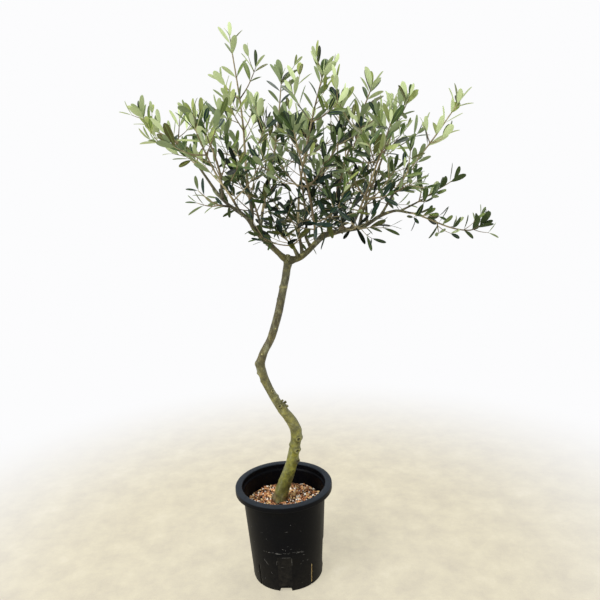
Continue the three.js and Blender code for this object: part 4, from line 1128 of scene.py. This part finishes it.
def carried_on(points, long):
    """The same twig with its last stretch carried on, as the solids' last leaf stands for it."""
    ahead = unit(points[-1] - points[-2])
    return np.concatenate([points, [points[-1] + unit(ahead + UP * 0.12) * long]])


def fine_shoots(index, spread, parent, start, full, chance):
    """Shoots along a twig, a golden angle apart, each cut back to where it stays clear of the limbs."""
    found = []
    for k, far in enumerate(np.arange(start * parent.length, parent.length - FINE["to_tip"], FINE["every"])):
        share = far / parent.length
        draws = chance.uniform(size=4)
        foot, ahead = parent.at(share)[0], parent.heading(share)[0]
        if draws[0] > np.interp(foot[2], THIN_BETWEEN, full) * np.interp(foot[2], *FULLNESS):
            continue
        out = sideways(ahead, k * GOLDEN_ANGLE + draws[1] * FINE["swing"])
        long = FINE["long"] * (1 - FINE["wane"] * share) * (0.7 + 0.5 * draws[2]) * min(1, 0.5 + spread / 240)
        away = unit(ahead * math.cos(FINE["angle"]) + out * math.sin(FINE["angle"]) + UP * FINE["lift"])
        bend = foot + away * long * 0.5
        points = np.array([foot, bend, bend + unit(away + UP * FINE["rise"] * draws[3]) * long * 0.5])
        tests = curve_at(points, np.linspace(0.4, 1, FINE["tests"]))
        from_stem = nearest(stem_lines[[index]], tests)[0][:, 0]
        fits = clear_of_limbs(tests, FINE["clear"]) & (from_stem < spread * 1.45 + 10)
        kept = 0.3 + 0.7 * np.cumprod(fits).sum() / FINE["tests"]
        if kept * long >= FINE["shortest"] and fits[0]:
            whole = curve_at(points, np.array([0, 0.5, 1]) * kept)
            found.append(Limb(whole, taper(FINE["foot"], FINE["tip"])))
    return found


def shoots_of(name, index):
    """All shoots of a mass, each with its bare share and its order: stem, side twigs and finer shoots."""
    _, spread, leafy, _ = MASSES[name]
    stem = stems[name]
    chance = seeded(SEED["first"] + SEED["step"] * index)
    pairs = max(2, int((stem.length * TWIG["until"] - TWIG["clear_foot"]) // TWIG["every"]) + 1)
    twigs = []
    for pair in range(pairs):
        share = (TWIG["clear_foot"] + pair * TWIG["every"]) / stem.length
        if share > 1:
            break
        turn = (pair + 0.5) * math.pi / 2 + chance(*TWIG["turn"])
        foot, ahead = stem.at(share)[0], stem.heading(share)[0]
        for side in (0, math.pi):
            long = spread * (1 - TWIG["wane"] * share) * chance(*TWIG["long"])
            points = side_twig(index, spread, foot, ahead, sideways(ahead, turn + side), long)
            if points is not None:
                twigs.append(Limb(carried_on(points, CARRY_ON), taper(TWIG["foot"], TIP_RADIUS)))
    fine_chance = np.random.default_rng(900 + index)
    full = THINNED.get(name, (1, 1))
    carried = carried_on(stem.points, STEM_CARRY.get(name, CARRY_ON))
    long_stem = Limb(carried, taper(float(stem.radius(0)), TIP_RADIUS + 0.2))
    fine = fine_shoots(index, spread, long_stem, max(leafy, FINE["from_stem"]), full, fine_chance)
    for twig in twigs:
        fine += fine_shoots(index, spread, twig, FINE["from"], full, fine_chance)
    found = [(long_stem, leafy, 0)] + [(twig, BARE_FOOT[0], 1) for twig in twigs]
    return found + [(shoot, BARE_FOOT[1], 2) for shoot in fine]


# %% [markdown]
# Leaves.
# An olive leaf is a narrow ellipse, about 55 mm by 15 mm, thick and stiff, on a stalk of a few
# millimetres. It folds a little along its midrib and its tip bends. Leaves stand in pairs, each pair
# turned a quarter from the last, with their dark upper face towards the tip of the shoot. Pairs
# stand further apart on the highest shoots, and leaves are broader at the top and outside. One leaf
# is a closed lens of five points round and eight stations long, and a whole array of leaves is
# placed at once. Crown leaves stand up, so their pale under face shows; low ones hang a little.
# The edges along a leaf's margin are marked sharp, so that each face keeps its own shading.

# %% The shape of a leaf
LEAF = {"every": 21.5, "long": 55, "wide": 17.4, "thick": 0.6, "fold": 0.2, "stalk": 0.07, "least_out": 0.2}
# The middle of the crown from left to right. Tables below go by height, or by the distance from it.
CROWN_MIDDLE = 120
PAIRS_APART = ((1515, 1620), (LEAF["every"], 34))
BREADTH_BY_HEIGHT = ((1200, 1450), (0.77, 1.02))
BREADTH_OUTSIDE = ((280, 400), (0.77, 1.12))
STATIONS = np.array([0, 0.09, 0.2, 0.36, 0.54, 0.72, 0.87, 0.965])
# A leaf's ring: margin, both sides of the midrib, margin and the middle of the under face.
ACROSS = np.array([-1, -0.09, 0.09, 1, 0])
OUT_OF_FACE = np.array([0, 0.5, 0.5, 0, -0.5])
# Which finish each of the ring's five faces takes: upper 0, under 1 or midrib 2.
PART_OF_FACE = np.array([0, 2, 0, 1, 1])
RING = len(ACROSS)
LIFT = {"level_at": 1160, "over": 390, "least": -0.3, "most": 0.6,
        "tips_from": 280, "tips_over": 130, "at_tips": 0.75, "share": 0.9}
# How far a leaf leans out of its shoot, how much less at the tip, and from how near to it.
ANGLE = {"open": 1.08, "closing": 0.6, "near_tip": 45}
# How much each thing strays from its rule: turn round the shoot, angle, lift and facing.
STRAY = {"turn": 0.16, "angle": 0.2, "lift": 0.16, "facing": 0.22}
GROWN_BY_HEIGHT = ((1150, 1500), (0.94, 1.08))
# A spray's leaves: sizes and widths against the usual, how much smaller at the tip and on the finer
# shoots, the bend's middle and stray, how far from the tip and the foot the first ones stand, the
# length left bare besides, and how far the faces turn up.
SPRAY = {"sizes": (0.8, 1.15), "widths": (0.88, 1.1), "less_at_tip": 0.3, "finer": 0.93,
         "curl": (0.05, 0.05), "below_tip": 2, "above_foot": 4, "bare": 3, "tilt_up": 0.25}


def leaf_width(share):
    """Share of the full width: b to the power 0.75 times the root of 1 - b, fullest at 0.6 and blunt."""
    blade = np.clip((share - LEAF["stalk"]) / (1 - LEAF["stalk"]), 0, 1)
    return np.maximum(2.32 * blade**0.75 * np.sqrt(1 - blade), 0.1)


def leaf_points(root, ahead, side, long, wide, curl):
    """Points of N leaves: root + ahead * length + side * width + face * (fold, thickness and bend)."""
    face = np.cross(ahead, side)
    half = leaf_width(STATIONS)[None, :, None] * wide[:, None, None] / 2
    across = ACROSS[None, None] * half
    thick = OUT_OF_FACE[None, None] * LEAF["thick"]
    bend = curl[:, None] * long[:, None] * STATIONS[None] ** 2
    rise = LEAF["fold"] * np.abs(across) + thick - bend[:, :, None]
    body = root[:, None, None] + ahead[:, None, None] * (STATIONS[None] * long[:, None])[:, :, None, None]
    body = body + side[:, None, None] * across[..., None] + face[:, None, None] * rise[..., None]
    tip = root + ahead * long[:, None] - face * (curl * long)[:, None]
    return np.concatenate([body.reshape(len(root), -1, 3), tip[:, None]], 1)


leaf_quads = grid_faces(len(STATIONS), RING)[:, ::-1]
leaf_tip = fan_faces(np.arange(RING) + (len(STATIONS) - 1) * RING, len(STATIONS) * RING)[:, ::-1]
leaf_root = np.arange(RING)[None]
margin = [ring * RING + k for ring in range(len(STATIONS)) for k in (0, 3)] + [len(STATIONS) * RING]
print("one leaf:", len(leaf_quads) + len(leaf_tip) + 1, "faces")

# %% [markdown]
# The colours of the leaves.
# The upper face is a deep waxy green when old and a fresh yellow-green when young. The under face
# is covered with tiny pale scales and looks silver. A leaf's tone follows its place, with one small
# offset for each spray: partly the leaf's age and partly painted light, with painted shade deep in
# the middle and leaves painted paler where the light reaches the top and outside. The deep tones
# shine less, which deepens the painted shade. The surface gets a faint mottle and veins a millimetre
# or two apart, drawn coarser than life so that they show.

# %% The colours of the leaves
# Upper faces from the painted shade of the middle to the lit tips, then two odd tones: bluish, a painted sky
# reflection, and brownish.
TOP_TONES = ["#0c1508", "#233417", "#4a632a", "#7a8f45", "#a9b764", "#19362b", "#5d5f24"]
# Deep tones shine less, which deepens their painted shade.
TOP_SHINES = [0.16, 0.26, 0.36, 0.4, 0.4, 0.28, 0.3]
UNDER_TONES = ["#48582f", "#9dae7c", "#d3ddb4"]
# The number of plain tones, the places of the odd ones, and that of the first under face.
TONES, BLUISH_SKY_REFLECTION, BROWNISH, UNDER = 5, 5, 6, 7
FRESH_AND_LIT = {"low": 1100, "over": 460, "inside": 150, "beyond": 240, "stray": 0.13}
# The chance that a leaf is a tone off its spray. One draw then deals the odd leaves: below ODD a
# deep leaf is bluish, a painted reflection of the sky, below DEEP_ODD a fresh one is deep, and above
# BROWN_ODD any leaf is brownish.
TONE_OFF, ODD, DEEP_ODD, BROWN_ODD = 0.6, 0.22, 0.1, 0.88
TWIG_TONES = [(0.34, "#54452f"), (0.5, "#7a6c4a"), (0.66, "#b0a47c")]


def leaf_finish(name, colour, roughness, shine, shift):
    """A leathery leaf face: one plain base colour with a faint mottle of 6 mm and a little wax."""
    finish, tree, shader, place = new_finish(name, IOR=1.45, Roughness=roughness, Specular_IOR_Level=shine)
    mottle_noise = add_node(tree, "TexNoise", Vector=place, Scale=150, Detail=3, Roughness=0.55)
    mottle = add_node(tree, "ValToRGB", stops=[(0.3, "#707070"), (0.7, "#929292")], Fac=mottle_noise)
    veins = add_node(tree, "TexNoise", Vector=place, Scale=600, Detail=2, Roughness=0.55)
    feed(shader, Base_Color=add_node(tree, "Mix", OVERLAY, Factor=shift, A=colour, B=mottle),
         Normal=add_node(tree, "Bump", Height=veins, Distance=0.00012))
    return finish


leaf_finishes = [leaf_finish(f"olive_leaf_top_{i}", tone, 0.38, shine, 0.7)
                 for i, (tone, shine) in enumerate(zip(TOP_TONES, TOP_SHINES))]
leaf_finishes += [leaf_finish(f"olive_leaf_under_{i}", tone, 0.7, 0.2, 0.5)
                  for i, tone in enumerate(UNDER_TONES)]
twig_finish, tree, shader, place = new_finish("olive_twig_green", IOR=1.45, Roughness=0.6)
patch_noise = add_node(tree, "TexNoise", Vector=place, Scale=11, Detail=4, Roughness=0.55)
patches = add_node(tree, "ValToRGB", stops=TWIG_TONES, Fac=patch_noise)
skin = add_node(tree, "TexNoise", Vector=place, Scale=700, Detail=3, Roughness=0.55)
feed(shader, Base_Color=patches, Normal=add_node(tree, "Bump", Height=skin, Distance=0.0002))

# %% [markdown]
# Now each mass is grown: its shoots become thin tubes with a small swelling at each pair of leaves,
# and its leaves one mesh. A leaf that would pass through a limb is left out. All random numbers come
# from seeds, so the same tree grows each time.

# %% Grow the masses
# Sides of a tube, by the order of the shoot, and the distance between its rings.
TWIG_SIDES, TWIG_STEP = (8, 6, 5), 6.5
TWIG_SWELLING = 0.16
# How near a leaf may come to a limb, tested at shares of its length.
LEAF_CLEAR, LEAF_TESTS = 2.5, (0.45, 0.75, 1)


def leaf_lift(places):
    """How much of a leaf's direction is straight up: little low down, more above and outside."""
    by_height = np.clip((places[:, 2] - LIFT["level_at"]) / LIFT["over"], LIFT["least"], LIFT["most"])
    outside = np.clip((np.abs(places[:, 0] - CROWN_MIDDLE) - LIFT["tips_from"]) / LIFT["tips_over"], 0, 1)
    return np.maximum(by_height, LIFT["at_tips"] * outside) * LIFT["share"]


def leaf_breadth(places):
    """Breadth against the usual: leaves are narrow in the shaded middle, broad at the top and outside."""
    outside = np.abs(places[:, 0] - CROWN_MIDDLE)
    return np.maximum(np.interp(places[:, 2], *BREADTH_BY_HEIGHT), np.interp(outside, *BREADTH_OUTSIDE))


def spray_of(limb, start, order, chance):
    """Roots, headings, sides, lengths, widths and bends of the leaves on one shoot.

    A leaf's heading is along * cos(angle) + out * sin(angle) + up * lift, made one unit long.
    """
    usable = limb.length * (1 - start) - SPRAY["bare"]
    pairs = max(1, int(usable / np.interp(limb.points[-1][2], *PAIRS_APART)))
    far = limb.length - SPRAY["below_tip"] - np.arange(pairs) * (usable / pairs)
    shares = np.repeat(np.maximum(far, SPRAY["above_foot"]) / limb.length, 2)
    count = len(shares)
    middle, along = limb.at(shares), limb.heading(shares)
    level = np.where(np.abs(along[:, 2:3]) > NEARLY_UPRIGHT, np.array([[1.0, 0, 0]]), UP[None])
    first = unit(np.cross(along, level))
    second = np.cross(along, first)
    turn = np.repeat(np.arange(pairs) * np.pi / 2 + chance.uniform(0, 6.3), 2) + np.tile([0, np.pi], pairs)
    turn = (turn + chance.normal(0, STRAY["turn"], count))[:, None]
    out = first * np.cos(turn) + second * np.sin(turn)
    to_tip = np.clip(1 - (limb.length * (1 - shares)) / ANGLE["near_tip"], 0, 1)
    angle = (ANGLE["open"] - ANGLE["closing"] * to_tip + chance.normal(0, STRAY["angle"], count))[:, None]
    lift = leaf_lift(middle)[:, None] + chance.normal(0, STRAY["lift"], (count, 1))
    ahead = along * np.cos(angle) + out * np.sin(angle) + UP * lift
    ahead = unit(ahead + out * np.maximum(0, LEAF["least_out"] - (ahead * out).sum(1))[:, None])
    facing = along + UP * SPRAY["tilt_up"] + chance.normal(0, STRAY["facing"], (count, 3))
    side = unit(np.cross(facing, ahead))
    size = (1 - SPRAY["less_at_tip"] * to_tip**3) * chance.uniform(*SPRAY["sizes"], count)
    size = size * (SPRAY["finer"] if order == 2 else 1)
    size = size * np.interp(middle[:, 2], *GROWN_BY_HEIGHT)
    root = middle + out * (limb.radius(shares)[:, None] * 0.4)
    curl = chance.normal(*SPRAY["curl"], count)
    wide = LEAF["wide"] * size * chance.uniform(*SPRAY["widths"], count) * leaf_breadth(middle)
    return root, ahead, side, LEAF["long"] * size, wide, curl


def tones_of(root, order, chance):
    """Top and under tones of a spray's leaves, from how young and how lit each is: nought is deepest, one is
    palest.

    Freshness is partly age and partly painted light: it grows with the height, with the distance from the
    middle and on finer shoots, so the shaded middle is painted deep and the lit top and outside pale.
    """
    # Height and distance from the middle also paint light: the lit top and outside pale, the shaded middle
    # deep.
    height = np.clip((root[:, 2] - FRESH_AND_LIT["low"]) / FRESH_AND_LIT["over"], 0, 1)
    from_middle = np.hypot(root[:, 0] - CROWN_MIDDLE, root[:, 1])
    aside = np.clip((from_middle - FRESH_AND_LIT["inside"]) / FRESH_AND_LIT["beyond"], 0, 1)
    fresh_and_lit = 0.6 * height + 0.26 * height**2 + 0.28 * aside + 0.16 * aside**2 * (1 - height) + 0.06 * order
    fresh_and_lit = fresh_and_lit + chance.normal(0, FRESH_AND_LIT["stray"])
    top = np.clip((fresh_and_lit * 4.9).astype(int), 0, TONES - 1)
    return top, np.clip((fresh_and_lit * 3.3 - 0.2).astype(int), 0, len(UNDER_TONES) - 1)


def dealt_tones(top, under, chance):
    """Slots of upper face, under face and midrib: some leaves are a tone off their spray, some odd."""
    shift = (chance.uniform(size=len(top)) < TONE_OFF) * chance.choice([-1, 1], len(top))
    tops = np.clip(top + shift, 0, TONES - 1)
    ribs = np.minimum(tops + 1, TONES - 1)
    odd = chance.uniform(size=len(tops))
    # Deep leaves dealt the bluish tone carry a painted reflection of the sky.
    low_odd = np.where(tops < 3, BLUISH_SKY_REFLECTION, np.where(odd < DEEP_ODD, 1, tops))
    tops = np.where(odd < ODD, low_odd, np.where(odd > BROWN_ODD, BROWNISH, tops))
    return np.stack([tops, UNDER + under, ribs], 1)


def twig_tube(collector, limb, order):
    """A tube of a few sides: radius * (1 + swelling * cos^6), one turn of cos to a pair of leaves."""
    shares = even_shares(limb, TWIG_STEP)
    wave = 1 + TWIG_SWELLING * np.cos((1 - shares) * limb.length / LEAF["every"] * 2 * np.pi) ** 6
    radius = limb.radius(shares) * wave
    sides = TWIG_SIDES[order]
    chord = np.abs(limb.points[-1] - limb.points[0])
    level = np.eye(3)[int(chord.argmin())]
    closed_tube(collector, swept(limb, shares, radius[:, None] + np.zeros((1, sides)), sides, level=level))


totals = {"shoots": 0, "leaves": 0}
for index, name in enumerate(MASSES):
    chance = np.random.default_rng(3000 + index)
    twigs, leaves = Collector(), Collector()
    batches, slots = [], []
    for limb, start, order in shoots_of(name, index):
        twig_tube(twigs, limb, order)
        spray = spray_of(limb, start, order, chance)
        batches.append(spray)
        slots.append(dealt_tones(*tones_of(spray[0], order, chance), chance))
        totals["shoots"] += 1
    root, ahead, side, long, wide, curl = (np.concatenate(part) for part in zip(*batches))
    slots = np.concatenate(slots)
    tests = [clear_of_limbs(root + ahead * (long * share)[:, None], LEAF_CLEAR) for share in LEAF_TESTS]
    kept = np.all(tests, 0)
    points = leaf_points(root[kept], ahead[kept], side[kept], long[kept], wide[kept], curl[kept])
    count, each = points.shape[:2]
    first = np.arange(count)[:, None, None] * each
    chosen = slots[kept]
    leaves.add(points, (first + leaf_quads).reshape(-1, 4),
               slots=chosen[:, np.tile(PART_OF_FACE, len(STATIONS) - 1)].ravel())
    leaves.faces += [(first + leaf_tip).reshape(-1, 3), (first + leaf_root).reshape(-1, RING)]
    leaves.slots += [chosen[:, PART_OF_FACE].ravel(), chosen[:, 1]]
    node = "foliage_" + name
    settle(twigs.piece("twigs_" + name, [twig_finish]), "young_bark", node)
    settle(leaves.piece("leaves_" + name, leaf_finishes, margins=(each, margin)), "foliage", node)
    totals["leaves"] += count
print("crown:", totals)

# %% [markdown]
# The grit.
# The pot is topped with crushed volcanic grit: brown, tan and cream lumps of 4 to 12 mm with a few
# white and dark ones. Spheres would look like beads, so each lump is an icosahedron whose corners
# are pulled in and out and which is flattened and turned. They lie on an uneven bed, drawn first.

# %% The bed
SOIL_TOP, BED_SINK, BED_COLUMNS = 240, 2.5, 96
SIDE_CLEAR, CUP_TOP, SIDE_TOP, SIDE_EVERY, TOP_RINGS = 3.2, 19, 234, 10, 22
MOUND_RISE, MOUND_SPREAD = 3, 1300
FOOT_X, FOOT_Y = TRUNK[0][0][:2]
BED_TONES = [(0.32, "#2f1c13"), (0.5, "#6b452b"), (0.66, "#a87c4d")]


def bed_height(x, y):
    """The bed's surface: a level, two crossing sine waves of about 1 mm, and a bell round the trunk."""
    waves = 1.1 * np.sin(x / 17 + 1) * np.cos(y / 21) + 0.8 * np.sin(x / 9 - y / 12 + 2)
    mound = MOUND_RISE * np.exp(-((x - FOOT_X) ** 2 + (y - FOOT_Y) ** 2) / MOUND_SPREAD)
    return SOIL_TOP - BED_SINK + waves + mound


turn = around(BED_COLUMNS)[None]
inner_foot = BASE_RADIUS - NOTCH["depth"] - 3
outline = [(radius, FLOOR_THICK + 0.1) for radius in (0, 60, inner_foot)] + [(inner_foot, CUP_TOP)]
sides = np.arange(CUP_TOP + 1, SIDE_TOP, SIDE_EVERY)
outline += [(float(wall_radius(z)) - WALL - SIDE_CLEAR, z) for z in sides]
outline += [(r, None) for r in np.linspace(float(wall_radius(SOIL_TOP)) - WALL - 0.3, 0, TOP_RINGS)]
grid = []
for radius, height in outline:
    x, y = radius * np.sin(turn), -radius * np.cos(turn)
    z = bed_height(x, y) if height is None else height + 0 * x
    grid.append(np.stack([x, y, z], -1)[0])
bed = Collector()
bed.add(np.array(grid), grid_faces(len(grid), BED_COLUMNS))
medium_finish, tree, shader, place = new_finish("potting_medium_moist", Roughness=0.95, IOR=1.4)
lumps = add_node(tree, "TexNoise", Vector=place, Scale=190, Detail=4, Roughness=0.65)
browns = add_node(tree, "ValToRGB", stops=BED_TONES, Fac=lumps)
feed(shader, Base_Color=browns, Normal=add_node(tree, "Bump", Height=lumps, Distance=0.0015))
grit_bed = settle(bed.piece("grit_bed", [medium_finish], tidy=True), "grit", "soil")
print("bed:", len(grit_bed.data.polygons), "faces")

# %% [markdown]
# Roots and dried medium have worked into the slits. In one slit they lie almost flush with the wall
# and show as a tan line, and in the others they stay deeper.

# %% The medium in the slits
PLUG_DEPTHS, PLUG_ROWS, PLUG_FOOT, PLUG_CLEAR = (0.5, 2.4, 1.8, 2.6), 24, 9, 0.15
PLUG_TONES = [(0.3, "#8f6f45"), (0.5, "#c9ae76"), (0.7, "#d8c48f")]


def slit_plug(turn, depth, chance):
    """A strip in a slit: rings of four corners from its foot to its top, with an uneven front."""
    z = np.linspace(PLUG_FOOT, SLIT["top"] - 0.6, PLUG_ROWS)
    front = wall_radius(z) - depth - chance.uniform(0, 0.5, len(z))
    back = wall_radius(z) - WALL - SIDE_CLEAR - 1
    half = SLIT["width"] / 2 - PLUG_CLEAR
    corners = [(-half, front), (half, front), (half, back), (-half, back)]
    ring = [np.stack([aside + 0 * z, -radius, z], -1) for aside, radius in corners]
    return turned_round(np.stack(ring, 1), turn)


chance = np.random.default_rng(31)
plugs = Collector()
for quarter, depth in zip(QUARTERS, PLUG_DEPTHS):
    closed_tube(plugs, slit_plug(math.radians(quarter + SLIT["turn"]) + POT_TURN, depth, chance))
plug_finish, tree, shader, place = new_finish("dried_medium_tan", Roughness=0.9)
patch_noise = add_node(tree, "TexNoise", Vector=place, Scale=130, Detail=4, Roughness=0.55)
tans = add_node(tree, "ValToRGB", stops=PLUG_TONES, Fac=patch_noise)
skin = add_node(tree, "TexNoise", Vector=place, Scale=600, Detail=3, Roughness=0.55)
feed(shader, Base_Color=tans, Normal=add_node(tree, "Bump", Height=skin, Distance=0.0004))
settle(plugs.piece("grit_plugs", [plug_finish]), "grit", "soil")
print("plugs:", len(PLUG_DEPTHS))

# %% [markdown]
# The lumps lie on a grid of places 6 mm apart, each moved a little, and none lies where the trunk
# goes down. Each takes one of seven tones of stone, dealt by their shares, and keeps flat faces.

# %% Loose stones
STONE = {"every": 5.9, "moved": 1.9, "inside": 121, "least": 2.5, "most": 5.6, "from_trunk": 26, "sunk": 0.35}
# Least and most of a lump's width, depth and height against its size, and of a corner's distance.
STONE_FORM = ((0.85, 0.65, 0.4), (1.35, 1.05, 0.8))
STONE_CORNERS = (0.7, 1.2)
STONE_TONES = ["#dba972", "#8c5f3c", "#f6dcae", "#fff9ee", "#241712", "#b97f50", "#eac38c"]
STONE_SHARES = [0.21, 0.17, 0.20, 0.11, 0.12, 0.09, 0.10]

golden = (1 + 5**0.5) / 2
ICO_POINTS = unit(np.array([
    [-1, golden, 0], [1, golden, 0], [-1, -golden, 0], [1, -golden, 0], [0, -1, golden], [0, 1, golden],
    [0, -1, -golden], [0, 1, -golden], [golden, 0, -1], [golden, 0, 1], [-golden, 0, -1], [-golden, 0, 1]]))
ICO_FACES = np.array([
    [0, 11, 5], [0, 5, 1], [0, 1, 7], [0, 7, 10], [0, 10, 11], [1, 5, 9], [5, 11, 4], [11, 10, 2],
    [10, 7, 6], [7, 1, 8], [3, 9, 4], [3, 4, 2], [3, 2, 6], [3, 6, 8], [3, 8, 9], [4, 9, 5],
    [2, 4, 11], [6, 2, 10], [8, 6, 7], [9, 8, 1]])


def random_turns(chance, count):
    """Random rotation matrices, from random quaternions."""
    w, x, y, z = unit(chance.normal(size=(count, 4))).T
    return np.stack([
        np.stack([1 - 2 * (y * y + z * z), 2 * (x * y - w * z), 2 * (x * z + w * y)], -1),
        np.stack([2 * (x * y + w * z), 1 - 2 * (x * x + z * z), 2 * (y * z - w * x)], -1),
        np.stack([2 * (x * z - w * y), 2 * (y * z + w * x), 1 - 2 * (x * x + y * y)], -1)], 1)


chance = np.random.default_rng(77)
steps = np.arange(-STONE["inside"], STONE["inside"], STONE["every"])
x, y = (part.ravel() for part in np.meshgrid(steps, steps * 0.87))
x = x + chance.uniform(-STONE["moved"], STONE["moved"], len(x))
y = y + chance.uniform(-STONE["moved"], STONE["moved"], len(y))
clear = (np.hypot(x, y) < STONE["inside"]) & (np.hypot(x - FOOT_X, y - FOOT_Y) > STONE["from_trunk"])
x, y = x[clear], y[clear]
size = STONE["least"] + (STONE["most"] - STONE["least"]) * chance.uniform(size=len(x)) ** 1.6
shape = size[:, None] * chance.uniform(*STONE_FORM, (len(x), 3))
lump = ICO_POINTS[None] * chance.uniform(*STONE_CORNERS, (len(x), len(ICO_POINTS), 1)) * shape[:, None]
lump = np.einsum("nij,npj->npi", random_turns(chance, len(x)), lump)
height = bed_height(x, y) + size * STONE["sunk"] + chance.uniform(0, 1.4, len(x))
lump = lump + np.stack([x, y, height], -1)[:, None]
tones = chance.choice(len(STONE_TONES), len(x), p=STONE_SHARES)
stones = Collector()
faces = (np.arange(len(x))[:, None, None] * len(ICO_POINTS) + ICO_FACES).reshape(-1, 3)
stones.add(lump, faces, slots=np.repeat(tones, len(ICO_FACES)))
stone_finishes = []
for i, tone in enumerate(STONE_TONES):
    finish, tree, shader, place = new_finish(f"crushed_lava_{i}", Roughness=0.9, IOR=1.5)
    grain_noise = add_node(tree, "TexNoise", Vector=place, Scale=900, Detail=3, Roughness=0.55)
    grains = add_node(tree, "ValToRGB", stops=[(0.3, "#6a6a6a"), (0.7, "#989898")], Fac=grain_noise)
    pits = add_node(tree, "TexNoise", Vector=place, Scale=1500, Detail=3, Roughness=0.55)
    feed(shader, Base_Color=add_node(tree, "Mix", OVERLAY, Factor=0.6, A=tone, B=grains),
         Normal=add_node(tree, "Bump", Height=pits, Distance=0.0003))
    stone_finishes.append(finish)
settle(stones.piece("grit_stones", stone_finishes, smooth=False), "grit", "soil")
print("stones:", len(x))
